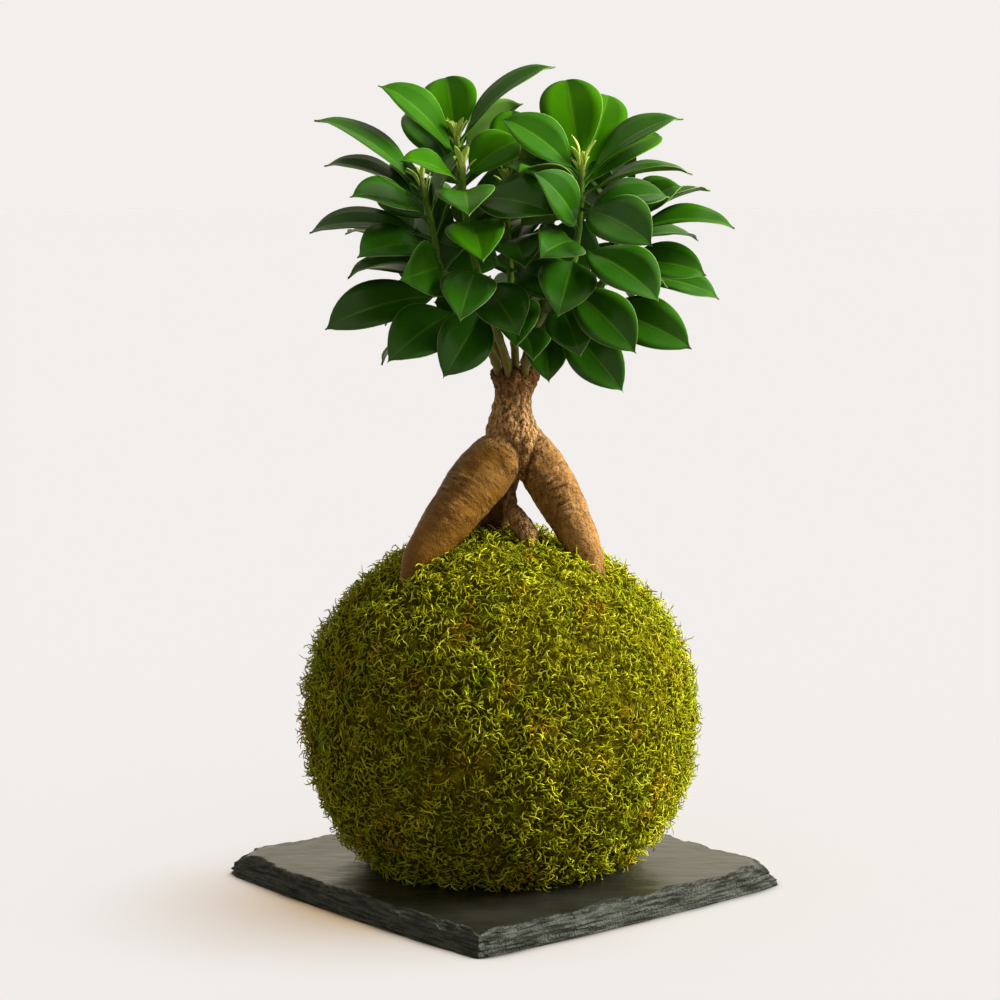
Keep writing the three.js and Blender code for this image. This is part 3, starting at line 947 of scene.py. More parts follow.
@dataclass
class SlateSlab:
    """The square of riven slate, with knapped edges and shelves where thin layers came away."""

    node: str
    turn: float = math.radians(40.5)
    side: float = 0.153
    corner_cut: float = 1.7
    front_cut: float = 0.68
    cells: int = 100
    layers: int = 9
    edge_crowding: float = 1.9
    corner_height: float = 0.0042
    front_height: float = 0.0074
    corner_reach: float = 0.013
    front_bow: float = 2.2
    facet_angle: float = math.radians(28)
    thick: float = field(init=False)

    def __post_init__(self) -> None:
        """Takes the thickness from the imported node."""
        self.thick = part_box(self.node)[1].z

    def build(self) -> bpy.types.Object:
        """Models the slab.

        Returns:
            The finished piece.
        """
        deselect()
        bpy.ops.mesh.primitive_grid_add(x_subdivisions=self.cells, y_subdivisions=self.cells, size=2)
        slab = named("riven_slate")
        bpy.ops.object.mode_set(mode="EDIT")
        bpy.ops.mesh.select_all(action="SELECT")
        for _ in range(self.layers):
            bpy.ops.mesh.extrude_region_move(TRANSFORM_OT_translate={"value": (0, 0, -1 / self.layers)})
        bpy.ops.mesh.select_all(action="SELECT")
        bpy.ops.mesh.normals_make_consistent(inside=False)
        bpy.ops.object.mode_set(mode="OBJECT")
        places = read_points(slab)
        shaped = np.array([self.knapped(*place) for place in places])
        write_points(slab, shaped[:, :3])
        store(slab.data, "broken", shaped[:, 3])
        bpy.ops.object.shade_smooth_by_angle(angle=self.facet_angle)
        return slab

    def knapped(self, across: float, along: float, level: float) -> tuple[float, float, float, float]:
        """Moves a point of the plain block to its place on the knapped slab.

        Args:
            across: From -1 to 1 over the block.
            along: From -1 to 1 over the block.
            level: 0 on the top face and -1 underneath.

        Returns:
            The point in metres, and how broken the surface is there, from 0 to 1.
        """
        half = self.side / 2
        across, along = (
            math.copysign(1 - (1 - abs(value)) ** self.edge_crowding, value) for value in (across, along)
        )
        out, cornered = max(abs(across), abs(along)), min(abs(across), abs(along))
        at_front = across < 0 and along < 0
        ring = Vector((across, along, 0)) / max(out, 1e-6) * half * 1000
        depth = -level
        layer = noise.noise(Vector((ring.x * 0.10, ring.y * 0.10, depth * 7.0)))
        scallop = noise.noise(Vector((ring.x * 0.060 + 7, ring.y * 0.060, depth * 1.2)))
        nick = noise.noise(Vector((ring.x * 0.33, ring.y * 0.33 + 31, depth * 5.0)))
        flake = noise.noise(Vector((ring.x * 0.75, ring.y * 0.75 + 11, depth * 9.0)))
        bevel = (1 - depth) ** 1.4 * (0.9 + 1.7 * max(0.0, scallop + 0.35))
        cut = (self.front_cut if at_front else self.corner_cut) * cornered**10
        short = (0.25 + cut + bevel + 0.65 * layer + 0.50 * nick + 0.28 * flake) * MM
        bow = self.front_bow * (1 - cornered**2) if min(across, along) <= -out else 0.0
        near = smooth_step(0.80, 1.0, out)
        reach = half - (max(short, 0.0002) - bow * MM) * near
        x, y = across * reach, along * reach
        edge = (half - out * half) * 1000
        shelf = 2.6 + 3.8 * noise.noise(Vector((ring.x * 0.055, ring.y * 0.055, 3.0)))
        shelf += 1.8 * noise.noise(Vector((ring.x * 0.24, ring.y * 0.24, 9.0)))
        shelf += 0.7 * noise.noise(Vector((ring.x * 0.60, ring.y * 0.60, 21.0)))
        lower = shelf * 0.45 + 1.1 * noise.noise(Vector((ring.x * 0.18, ring.y * 0.18, 17.0)))
        drop = 0.95 * smooth_step(shelf + 0.4, shelf - 0.4, edge)
        drop += 1.25 * smooth_step(lower + 0.35, lower - 0.35, edge)
        ripple = 0.16 * noise.noise(Vector((across * 5.5, along * 9.0, 1.0)))
        ripple += 0.10 * noise.noise(Vector((across * 17.0, along * 13.0, 5.0)))
        top = self.thick + (ripple - 0.12 - drop) * MM
        corner = math.hypot(half - abs(across) * half, half - abs(along) * half)
        lowest = self.front_height if at_front else self.corner_height
        wedge = lowest + (self.thick - lowest) * smooth_step(0, self.corner_reach, corner)
        z = min(top, wedge) * (1 - depth)
        broken = 1.0 if depth > 0.02 else float(smooth_step(shelf + 1.2, shelf, edge))
        turned = (
            x * math.cos(self.turn) - y * math.sin(self.turn),
            x * math.sin(self.turn) + y * math.cos(self.turn),
        )
        return (*turned, z, broken)

    def dress(self, slab: bpy.types.Object) -> None:
        """Gives the slab its slate."""
        hand_over(slab, "slate", SlateFinish("riven_slate").build(), self.node)


# Trunk


@dataclass(frozen=True)
class Limb:
    """One root or the neck: a row of points with a radius each, in millimetres.

    Attributes:
        rows: Each row is x, y, z and the radius there.
        rough: How rough its bark is, from 0 to 1.
        shade: How dark and reddish it is, from 0 to 1. On the back root leg the darkness is partly
            painted shade.
        tanned: How far painted shade keeps its pale patches lost in the tan, from 0 to 1.
    """

    rows: tuple[tuple[float, float, float, float], ...]
    rough: float
    shade: float
    tanned: float = 0.0

    def samples(self, count: int) -> np.ndarray:
        """Gives points along the limb, each with its radius in the last column."""
        return SmoothLine(self.rows).samples(count)


LIMBS = {
    "neck": Limb(
        (
            (4.2, 0, 160, 8), (3.8, 0.2, 168, 11), (3.6, 0, 174, 10), (3.4, 0, 180, 7.9),
            (4.0, 0, 186, 6.8), (4.4, 0, 190.5, 8.2), (4.6, 0, 194.2, 9.7), (4.6, 0, 197.2, 8.4),
        ),
        rough=0.9,
        shade=0.0,
    ),
    "left_leg": Limb(
        (
            (3.0, -0.5, 171, 7), (-2.0, -4, 163.5, 10.6), (-8.5, -8, 156.4, 11.4),
            (-13.8, -12, 149.6, 10.7), (-20, -17, 142, 9.5), (-26.6, -21, 134, 7.8),
            (-31, -24, 128.9, 6.2), (-33.4, -25.2, 124, 4.6), (-35, -25.5, 113, 3.4),
        ),
        rough=0.0,
        shade=0.0,
        # Painted shade keeps this leg's lower part darker tan.
        tanned=0.95,
    ),
    "right_leg": Limb(
        (
            (6.5, 1.5, 172, 7), (10.5, 2.0, 165, 9.2), (14.9, 1.6, 158.5, 9.6),
            (19.3, 0, 151.9, 9.4), (23.5, -3, 144.4, 8.7), (27.1, -6.5, 137.7, 7.8),
            (30, -10, 132, 7), (32.6, -13.6, 125.5, 5.8), (35, -17, 113, 4.2),
        ),
        rough=0.15,
        shade=0.0,
    ),
    # Its darkness is partly painted shade.
    "back_leg": Limb(
        (
            (3.2, 3, 168, 7.5), (-0.6, 7, 157, 7.6), (-3.4, 10, 146, 8),
            (-5, 13, 135, 7.8), (-6.5, 17, 124, 6), (-7.5, 20, 113, 4),
        ),
        rough=0.4,
        shade=1.0,
    ),
    "knob": Limb(
        (
            (2.6, 3.2, 154, 2.8), (2.4, -0.3, 146.4, 3), (5.4, -4.4, 140.6, 3.8),
            (9, -8.8, 136, 4.4), (10.4, -12, 131, 3.4), (11.2, -14.6, 124, 2),
        ),
        rough=0.8,
        shade=0.45,
    ),
}


def mixed_trait(share: np.ndarray, trait: str) -> np.ndarray:
    """Mixes a trait of the limbs, such as rough, by how much each limb has of each point."""
    return share @ np.array([getattr(limb, trait) for limb in LIMBS.values()])


def limb_field(points: np.ndarray, count: int = 60) -> dict[str, np.ndarray]:
    """Finds how each point lies to each limb.

    Args:
        points: Places in metres, one in each row.
        count: How finely each limb is sampled.

    Returns:
        Arrays with a row for each point and a column for each limb.
        gap: the distance from the limb's surface in millimetres, less than 0 inside.
        along: the distance along it in millimetres.
        off: the vector from its middle line, in millimetres.
    """
    gaps, alongs, offs = [], [], []
    for limb in LIMBS.values():
        rows = limb.samples(count)
        steps = np.linalg.norm(np.diff(rows[:, :3], axis=0), axis=1)
        lengths = np.concatenate([[0], np.cumsum(steps)])
        gap, along, off = np.zeros(len(points)), np.zeros(len(points)), np.zeros((len(points), 3))
        for start in range(0, len(points), 20000):
            part = slice(start, start + 20000)
            away = points[part, None, :] * 1000 - rows[None, :, :3]
            reach = np.linalg.norm(away, axis=2) - rows[None, :, 3]
            nearest = reach.argmin(axis=1)
            row = np.arange(len(nearest))
            gap[part] = reach[row, nearest]
            along[part] = lengths[nearest]
            off[part] = away[row, nearest]
        gaps.append(gap)
        alongs.append(along)
        offs.append(off)
    return {"gap": np.stack(gaps, 1), "along": np.stack(alongs, 1), "off": np.stack(offs, 1)}


@dataclass
class Trunk:
    """The trunk: a neck with a rough collar, thick wrinkled root legs and a knobbly small root."""

    node: str
    voxel: float = 0.00062
    wrinkle: float = 0.16 * MM
    lump: float = 0.60 * MM
    groove: float = 0.55 * MM
    collar_z: float = 0.1880
    crotch: Point = (0.0074, -0.0095, 0.1675)
    blend_mm: float = 1.1

    def build(self, node: bpy.types.Object) -> bpy.types.Object:
        """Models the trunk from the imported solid.

        Args:
            node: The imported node.

        Returns:
            The finished piece.
        """
        trunk = copy_of_node(node, "fig_trunk")
        apply_modifier(trunk, "REMESH", mode="VOXEL", voxel_size=self.voxel, use_smooth_shade=True)
        apply_modifier(trunk, "SMOOTH", factor=0.6, iterations=14)
        points = read_points(trunk)
        normals = read_points(trunk, "normal")
        limbs = limb_field(points)
        share = np.exp(-(limbs["gap"] - limbs["gap"].min(axis=1, keepdims=True)) / self.blend_mm)
        share /= share.sum(axis=1, keepdims=True)
        high = smooth_step(0.166, 0.178, points[:, 2])
        rough = np.maximum(mixed_trait(share, "rough"), high)
        spot = np.linalg.norm((points - np.array(self.crotch)) * (1.0, 0.6, 0.75), axis=1)
        # The seams and the crotch are grooved, and the same mark gives them painted shade in the bark's
        # colour.
        seam = np.maximum(self.seams(points, share), smooth_step(0.0036, 0.0012, spot))
        rise = self.relief(points, limbs, share, rough) - self.groove * seam
        write_points(trunk, points + normals * rise[:, None])
        self.store_skin(trunk.data, limbs, share)
        self.store_tones(trunk.data, points[:, 2], share)
        store(trunk.data, "rough_bark", rough)
        store(trunk.data, "seam", seam)
        activate(trunk)
        bpy.ops.object.shade_smooth()
        return trunk

    def store_tones(self, mesh: bpy.types.Mesh, level: np.ndarray, share: np.ndarray) -> None:
        """Stores for the bark's finish where it is wrinkled, where painted shade keeps it tan and where
        it is darker and redder, partly by painted shade.

        Args:
            mesh: The trunk's mesh.
            level: Each point's height in metres, before the bark's relief.
            share: How much each limb has of each point.
        """
        bulge = smooth_step(0.134, 0.150, level) * (1 - 0.75 * smooth_step(0.166, 0.176, level))
        store(mesh, "wrinkled", 0.18 + 0.82 * bulge)
        # Painted shade, halved up on the left leg's bulge, which stays paler as a painted highlight.
        plain = 1 - 0.5 * smooth_step(0.146, 0.162, level)
        store(mesh, "tanned", mixed_trait(share, "tanned") * plain)
        collar = 0.70 * smooth_step(self.collar_z - 0.004, self.collar_z + 0.002, level)
        collar += 0.30 * smooth_step(self.collar_z + 0.003, self.collar_z + 0.007, level)
        # The back root leg's share is partly painted shade; the collar's is its own darker colour.
        store(mesh, "shade_bark", np.maximum(mixed_trait(share, "shade"), collar))

    def seams(self, points: np.ndarray, share: np.ndarray) -> np.ndarray:
        """Finds the folds where two limbs meet.

        Args:
            points: Places in metres.
            share: How much each limb has of each point.

        Returns:
            1 in the middle of a fold and 0 away from all folds.
        """
        second, first = np.sort(share, axis=1)[:, -2:].T
        even = 4 * first * second / (first + second) ** 2
        height = smooth_step(0.140, 0.152, points[:, 2]) * smooth_step(0.174, 0.168, points[:, 2])
        return even**5 * height

    def store_skin(self, mesh: bpy.types.Mesh, limbs: dict[str, np.ndarray], share: np.ndarray) -> None:
        """Stores each point's place on its two nearest limbs, and the second one's share."""
        order = np.argsort(-share, axis=1)
        row = np.arange(len(order))
        for name, limb in (("skin_one", order[:, 0]), ("skin_two", order[:, 1])):
            off = limbs["off"][row, limb]
            place = np.column_stack([limbs["along"][row, limb], off[:, 0], off[:, 2]]) * MM
            store(mesh, name, place + limb[:, None] * 0.05)
        first, second = share[row, order[:, 0]], share[row, order[:, 1]]
        store(mesh, "skin_share", second / (first + second))

    def relief(
        self, points: np.ndarray, limbs: dict[str, np.ndarray], share: np.ndarray, rough: np.ndarray
    ) -> np.ndarray:
        """Says how far the bark stands out at each point.

        Args:
            points: The places in metres.
            limbs: How each point lies to each limb.
            share: How much each limb has of each point.
            rough: How rough the bark is, from 0 to 1.

        Returns:
            The rises in metres.
        """
        rise = np.zeros(len(points))
        middle = smooth_step(0.128, 0.146, points[:, 2])
        collar = smooth_step(self.collar_z, self.collar_z + 0.003, points[:, 2])
        for i, point in enumerate(points):
            spot = Vector(point) * 1000
            lumps = noise.fractal(spot * 0.33, 1.0, 2.0, 3)
            pits = noise.fractal(spot * 0.9, 1.0, 2.0, 2)
            rise[i] = rough[i] * (self.lump * (1 + 0.9 * collar[i]) * lumps + 0.30 * self.lump * pits)
            rise[i] += 0.25 * MM * noise.noise(spot * 0.13)
            for limb in np.flatnonzero(share[i] > 0.04):
                along, off = limbs["along"][i, limb], limbs["off"][i, limb]
                bent = along + 1.6 * noise.noise(spot * 0.16)
                ring = noise.noise(Vector((bent * 0.62, off[0] * 0.09, off[2] * 0.09 + 20 * limb)))
                deep = noise.noise(Vector((bent * 0.22 + 40, off[0] * 0.05, off[2] * 0.05)))
                folds = 0.5 - abs(ring) * 1.3 - abs(deep) * 0.8
                rise[i] += share[i, limb] * self.wrinkle * folds * (0.35 + 1.25 * middle[i])
        return rise

    def dress(self, trunk: bpy.types.Object) -> None:
        """Gives the trunk its bark."""
        hand_over(trunk, "bark", BarkFinish("fig_bark").build(), self.node)


# Soil and moss


@dataclass
class SoilBall:
    """The ball of soil that the roots hold, hidden under the moss."""

    node: str

    def dress(self, node: bpy.types.Object) -> None:
        """Gives the packed soil ball its soil."""
        node.data.materials.clear()
        node.data.materials.append(SoilFinish("damp_soil").build())
        LOG.info("%s: kept as packed", self.node)


class Side(Enum):
    """The sectors that the live moss is modelled in, by the heading of each one's middle in degrees."""

    FRONT = -90
    RIGHT = -18
    BACK_RIGHT = 54
    BACK_LEFT = 126
    LEFT = 198


@dataclass
class MossSkin:
    """The moss: a dark felted bed and the live strands that stand in it."""

    node: str
    floor: float
    width: float = 0.147
    height: float = 0.136
    centre: Point = (-0.001, 0.0, 0.067)
    sag: float = 2.5
    strands: int = 34000
    cuts: int = 3
    models: int = 24
    bed_voxel: float = 0.0023
    bed_sink: float = 0.0009
    bed_relief: float = 0.0011
    scatter: float = 0.0008
    length: tuple[float, float] = (3.0 * MM, 7.0 * MM)
    girth: tuple[float, float] = (0.18 * MM, 0.34 * MM)

    def build_bed(self, node: bpy.types.Object) -> bpy.types.Object:
        """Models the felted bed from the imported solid.

        Args:
            node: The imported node.

        Returns:
            The finished piece.
        """
        bed = copy_of_node(node, "moss_bed")
        apply_modifier(bed, "REMESH", mode="VOXEL", voxel_size=self.bed_voxel, use_smooth_shade=True)
        points = read_points(bed)
        normals = read_points(bed, "normal")
        bumps = [noise.fractal(Vector(point) * 260, 1.0, 2.0, 3) for point in points]
        rise = self.bed_relief * np.array(bumps) - self.bed_sink
        moved = points + normals * rise[:, None]
        moved[:, 2] = np.maximum(moved[:, 2], self.floor)
        write_points(bed, moved)
        activate(bed)
        bpy.ops.object.shade_smooth()
        return bed

    def strand_model(self) -> tuple[np.ndarray, np.ndarray]:
        """Models one straight strand, a slim prism with rings to bend it by.

        Returns:
            Its points, round the axis at radius 1 and from 0 to 1 along Z, and its triangles.
        """
        deselect()
        bpy.ops.mesh.primitive_cylinder_add(vertices=3, radius=1, depth=1, location=(0, 0, 0.5))
        strand = named("strand")
        bake_place(strand)
        bpy.ops.object.mode_set(mode="EDIT")
        for cut in range(1, self.cuts + 1):
            bpy.ops.mesh.select_all(action="SELECT")
            bpy.ops.mesh.bisect(plane_co=(0, 0, cut / (self.cuts + 1)), plane_no=(0, 0, 1))
        bpy.ops.mesh.select_all(action="SELECT")
        bpy.ops.mesh.quads_convert_to_tris()
        bpy.ops.object.mode_set(mode="OBJECT")
        points = read_points(strand)
        triangles = np.array([face.vertices[:] for face in strand.data.polygons])
        bpy.data.objects.remove(strand)
        return points, triangles

    def curled(self, straight: np.ndarray, seed: int) -> tuple[np.ndarray, np.ndarray]:
        """Curls the straight strand into one of its living shapes, with leafy swellings.

        Args:
            straight: The straight strand's points.
            seed: Which shape.

        Returns:
            The middle line at each point of a strand of length 1 that starts at the origin with Z away
            from the bed, and the way out from it to the point, for a girth of 1.
        """
        draw = [chance(9000 + 17 * seed + k) for k in range(6)]
        steps = 24
        share = np.linspace(0, 1, steps + 1)
        lift = math.radians(22 + 48 * draw[0]) * (1 - share) + math.radians(-62 + 84 * draw[1]) * share
        sweep = math.radians(-200 + 400 * draw[2]) * share + 0.6 * np.sin(share * 6 + 6 * draw[3])
        flat = np.cos(lift)
        heading = np.column_stack([flat * np.cos(sweep), flat * np.sin(sweep), np.sin(lift)])
        line = np.concatenate([[[0, 0, 0]], np.cumsum(heading[:-1] / steps, axis=0)])
        level = np.clip(straight[:, 2] * steps, 0, steps)
        index = np.minimum(level.astype(int), steps - 1)
        weight = (level - index)[:, None]
        middle = line[index] * (1 - weight) + line[index + 1] * weight
        ahead = heading[index]
        aside = unit(np.cross(ahead, (0, 0, 1)))
        over = np.cross(aside, ahead)
        ring = np.rint(straight[:, 2] * (self.cuts + 1)).astype(int)
        swell = np.array([0.85, 1.15, 0.90, 1.0, 0.28])[np.minimum(ring, 4)][:, None]
        return middle, swell * (aside * straight[:, :1] + over * straight[:, 1:2] * 0.8)

    def roots(self, count: int) -> tuple[np.ndarray, np.ndarray]:
        """Spreads the strands' roots evenly over the ball, clear of the plant's own roots.

        Args:
            count: How many before the hidden ones are left out.

        Returns:
            Places and outward directions, in metres.
        """
        number = np.arange(count)
        up = 1 - 2 * (number + 0.5) / count
        turn = number * GOLDEN_ANGLE
        flat = np.sqrt(1 - up * up)
        ball = np.column_stack([flat * np.cos(turn), flat * np.sin(turn), up])
        fuller = (flat**self.sag + np.abs(up) ** self.sag) ** (1 / self.sag)
        ball /= np.where(up < 0, fuller, 1)[:, None]
        radii = np.array([self.width / 2, self.width / 2, self.height / 2])
        places = np.array(self.centre) + ball * radii
        outward = unit(ball / radii)
        jitter = np.random.default_rng(5).normal(0, self.scatter, places.shape)
        places = places + jitter - outward * self.scatter
        clear = (places[:, 2] > self.floor + 0.0002) & (limb_field(places)["gap"].min(axis=1) > -0.6)
        return places[clear], outward[clear]

    def build_strands(self) -> list[bpy.types.Object]:
        """Models the live strands, one piece for each sector of the ball.

        Returns:
            The finished pieces.
        """
        straight, triangles = self.strand_model()
        models = [self.curled(straight, seed) for seed in range(self.models)]
        lines, outs = (np.array(part) for part in zip(*models))
        count = self.strands
        places, outward = self.roots(count)
        draws = np.random.default_rng(11).random((len(places), 8))
        mounds = np.array([noise.fractal(Vector(place) * 95, 1.0, 2.0, 2) for place in places])
        clump = np.array([noise.fractal(Vector(place) * 260, 1.0, 2.0, 2) for place in places])
        proud = smooth_step(-0.35, 0.40, 0.6 * clump + 0.6 * mounds)
        side = unit(np.cross(outward, unit(draws[:, :3] - 0.5)))
        other = np.cross(outward, side)
        tilt = np.radians(-10 + 58 * draws[:, 3] ** 2.5 * (0.3 + proud))
        ahead = side * np.cos(tilt)[:, None] + outward * np.sin(tilt)[:, None]
        up = outward * np.cos(tilt)[:, None] - side * np.sin(tilt)[:, None]
        turn = np.stack([ahead, other, up], axis=2)
        low, high = self.length
        size = low + (high - low) * draws[:, 4] ** 1.4 * (0.5 + 0.5 * proud)
        girth = self.girth[0] + (self.girth[1] - self.girth[0]) * draws[:, 7]
        model = (draws[:, 5] * self.models).astype(int)
        shape = lines[model] * size[:, None, None] + outs[model] * girth[:, None, None]
        sunk = places + outward * ((proud - 0.6) * 0.0022)[:, None]
        points = sunk[:, None] + np.einsum("nij,nvj->nvi", turn, shape)
        points[:, :, 2] = np.maximum(points[:, :, 2], self.floor)
        tips = points.mean(axis=1) * 0.4 + points[:, -1] * 0.6
        free = limb_field(tips)["gap"].min(axis=1) > 0.05
        tone = np.clip(0.20 + 0.28 * mounds + 0.25 * clump + 0.62 * draws[:, 6] ** 1.6, 0, 1)
        heading = np.degrees(np.arctan2(places[:, 1] - self.centre[1], places[:, 0] - self.centre[0]))
        pieces = []
        for sector in Side:
            near = np.abs((heading - sector.value + 180) % 360 - 180) <= 36
            chosen = np.flatnonzero(near & free)
            pieces.append(self.sector_piece(sector, points[chosen], triangles, tone[chosen], straight))
        return pieces

    def sector_piece(
        self,
        sector: Side,
        points: np.ndarray,
        triangles: np.ndarray,
        tone: np.ndarray,
        straight: np.ndarray,
    ) -> bpy.types.Object:
        """Joins one sector's strands into a piece.

        Args:
            sector: Which sector.
            points: Each strand's points.
            triangles: One strand's triangles.
            tone: Each strand's tone, from 0, old, to 1, fresh.
            straight: The straight strand's points, for the share of the way up.

        Returns:
            The piece.
        """
        count, each = points.shape[:2]
        faces = (np.arange(count)[:, None, None] * each + triangles[None]).reshape(-1, 3)
        piece = mesh_of(f"moss_strands_{sector.name.lower()}", points.reshape(-1, 3), faces)
        store(piece.data, "tone", np.repeat(tone, each))
        store(piece.data, "rise", np.tile(straight[:, 2], count))
        return piece

    def dress(self, bed: bpy.types.Object, strands: Iterable[bpy.types.Object]) -> None:
        """Gives the bed and the strands their moss."""
        hand_over(bed, "moss", MossBedFinish("moss_felt").build(), self.node)
        live = MossFinish("live_moss").build()
        for piece in strands:
            hand_over(piece, "moss", live)


# Leafy shoots


@dataclass(frozen=True)
class PlacedLeaf:
    """A leaf placed one by one.

    Attributes:
        share: How far up its stem it grows, from 0 to 1.
        tip: Where its tip is, in millimetres.
        width: The blade's width in millimetres.
        tilt: How far its face turns from the sky to the front, in degrees.
        young: From 0, old and dark, to 1, young and bright.
    """

    share: float
    tip: Point
    width: float
    tilt: float
    young: float = 0.0


@dataclass(frozen=True)
class LeafRule:
    """Leaves that wind up a stem by rule.

    Attributes:
        count: How many.
        top: The highest one's share of the stem.
        bottom: The lowest one's share of the stem.
        turn: The first one's heading in degrees.
        front: Whether they grow to the front too.
    """

    count: int
    top: float
    bottom: float
    turn: float
    front: bool = False


@dataclass(frozen=True)
class LeafPose:
    """How one leaf stands, in millimetres and degrees."""

    base: np.ndarray
    tip: np.ndarray
    width: float
    tilt: float
    outward: np.ndarray
    young: float

    def frame(self) -> tuple[np.ndarray, np.ndarray, np.ndarray]:
        """Gives the leaf's chord, its face direction and its side direction."""
        chord = self.tip - self.base
        along = unit(chord)
        light = np.array([0, 0, 1]) * math.cos(math.radians(self.tilt))
        light = light + self.outward * math.sin(math.radians(self.tilt))
        face = unit(light - along * (light @ along))
        return chord, face, np.cross(face, along)


SHOOTS: dict[str, tuple[tuple[Point, ...], tuple[PlacedLeaf, ...], LeafRule | None]] = {
    "shoot_left_front": (
        (
            (-0.6, -2.4, 191), (-2.6, -5, 200), (-9, -9, 211), (-17, -12, 222),
            (-23, -14, 236), (-26, -15, 250), (-29, -15, 264),
        ),
        (
            PlacedLeaf(0.97, (-69, -6, 290.5), 18, 14, 0.15),
            PlacedLeaf(0.93, (-65, -14, 274), 18, 16),
            PlacedLeaf(0.86, (-54, -38, 262.5), 19, 30),
            PlacedLeaf(0.78, (-71, -16, 249.5), 19, 24, 0.1),
            PlacedLeaf(0.73, (-51.5, -44, 241), 20, 44, 0.1),
            PlacedLeaf(0.66, (-57, -20, 233), 15, 14, 0.2),
            PlacedLeaf(0.66, (-35, -54, 232.5), 20, 72, 0.3),
            PlacedLeaf(0.54, (-65, -26, 214), 20, 50),
            PlacedLeaf(0.47, (-41, -44, 203), 20, 68, 0.1),
        ),
        LeafRule(11, 0.88, 0.4, 20),
    ),
    "shoot_left_centre": (
        (
            (2.9, -5.3, 191), (1.6, -8, 200), (-3, -15, 214), (-8, -21, 230),
            (-12, -24, 246), (-14, -24, 258), (-14.5, -23, 270),
        ),
        (
            PlacedLeaf(0.96, (6, -18, 282), 19, 40, 0.75),
            PlacedLeaf(0.93, (-36, -38, 275), 14, 35, 0.7),
            PlacedLeaf(0.9, (-12, -57, 256), 20, 60, 0.2),
            PlacedLeaf(0.86, (18, -44, 256), 21, 50, 0.1),
            PlacedLeaf(0.76, (-7, -57, 240), 20, 45, 0.65),
            PlacedLeaf(0.55, (-15, -56, 219), 19, 60, 0.1),
            PlacedLeaf(0.5, (6, -46, 213), 19, 60, 0.15),
            PlacedLeaf(0.42, (-21, -42, 197), 19, 72),
        ),
        None,
    ),
    "shoot_left_back": (
        (
            (1.4, 4.2, 191), (-1, 7, 201), (-6, 10, 216), (-11, 11, 234),
            (-14, 10, 252), (-16, 9, 268), (-17, 9, 282),
        ),
        (
            PlacedLeaf(0.95, (-21.4, 30, 306.5), 20, 90, 0.8),
            PlacedLeaf(0.9, (-45, -2, 303), 18, 35, 0.35),
            PlacedLeaf(0.98, (19, 14, 311), 17, 14, 0.3),
            PlacedLeaf(0.84, (-37, 22, 294), 18, 60, 0.1),
            PlacedLeaf(0.78, (16, 17, 266), 20, 76),
            PlacedLeaf(0.64, (-44, 17, 261), 21, 76),
            PlacedLeaf(0.5, (-42, 12, 238), 21, 76),
        ),
        LeafRule(16, 0.95, 0.3, 60),
    ),
    "shoot_centre": (
        ((4.6, -0.2, 191), (4.8, 0.4, 201), (4, 3, 215), (3, 4, 232), (2, 5, 250), (2, 5, 266)),
        (
            PlacedLeaf(0.98, (3.5, 24, 295), 15, 80, 0.6),
            PlacedLeaf(0.74, (8, -34, 237), 20, 50),
            PlacedLeaf(0.62, (27, -24, 224), 18, 55),
            PlacedLeaf(0.5, (5, -30, 208), 18, 60),
            PlacedLeaf(0.84, (32, 12, 268), 20, 76),
            PlacedLeaf(0.62, (-28, -2, 246), 20, 76),
            PlacedLeaf(0.46, (-26, 3, 222), 20, 76),
        ),
        LeafRule(14, 0.9, 0.35, 300, front=True),
    ),
    "shoot_right_front": (
        (
            (7.6, -4.6, 191), (9.2, -7, 200), (16, -12, 213), (23, -17, 227),
            (27, -20, 243), (28.5, -21.5, 258), (29, -21, 271),
        ),
        (
            PlacedLeaf(0.97, (24, 6, 304.5), 22, 90, 1.0),
            PlacedLeaf(0.95, (40, 10, 299), 18, 90, 0.9),
            PlacedLeaf(0.94, (66, -12, 291), 18, 10, 0.2),
            PlacedLeaf(0.91, (58, -6, 284), 19, 44, 0.8),
            PlacedLeaf(0.88, (69, -22, 271), 18, 8, 0.2),
            PlacedLeaf(0.96, (0, -22, 290), 18, 45, 0.3),
            PlacedLeaf(0.87, (6, -42, 272), 16, 2, 0.6),
            PlacedLeaf(0.82, (53, -50, 245), 21, 60, 0.1),
            PlacedLeaf(0.72, (12, -48, 270), 16, 60, 0.1),
            PlacedLeaf(0.68, (14, -50, 241), 18, 66),
            PlacedLeaf(0.66, (56, -48, 225), 21, 45),
            PlacedLeaf(0.63, (20, -50, 220), 20, 76),
            PlacedLeaf(0.52, (48, -42, 206), 19, 66, 0.1),
            PlacedLeaf(0.44, (28, -40, 205), 17, 70),
            PlacedLeaf(0.4, (44, -32, 191), 18, 74, 0.1),
            PlacedLeaf(0.32, (17, -30, 195), 14, 80, 0.1),
        ),
        LeafRule(8, 0.9, 0.45, 60),
    ),
    "shoot_right_back": (
        ((9.8, -0.4, 191), (13, 1.6, 200), (24, 5, 212), (36, 7, 226), (43, 7, 240), (46, 6, 254)),
        (
            PlacedLeaf(0.96, (67, 4, 266), 17, 36, 0.3),
            PlacedLeaf(0.9, (87, 2, 251), 19, 20, 0.25),
            PlacedLeaf(0.84, (75, 20, 246), 15, 16, 0.1),
            PlacedLeaf(0.74, (76, -4, 233), 18, 45, 0.15),
            PlacedLeaf(0.66, (82, 4, 224), 17, 34, 0.2),
            PlacedLeaf(0.52, (70, -14, 206), 20, 60, 0.15),
            PlacedLeaf(0.74, (16, 12, 246), 20, 76),
        ),
        LeafRule(14, 0.97, 0.4, 75),
    ),
    "shoot_back": (
        ((7.4, 4.4, 191), (9, 9, 201), (14, 19, 216), (18, 28, 233), (19, 33, 250), (19, 34, 266)),
        (),
        LeafRule(22, 0.97, 0.3, 0, front=True),
    ),
}


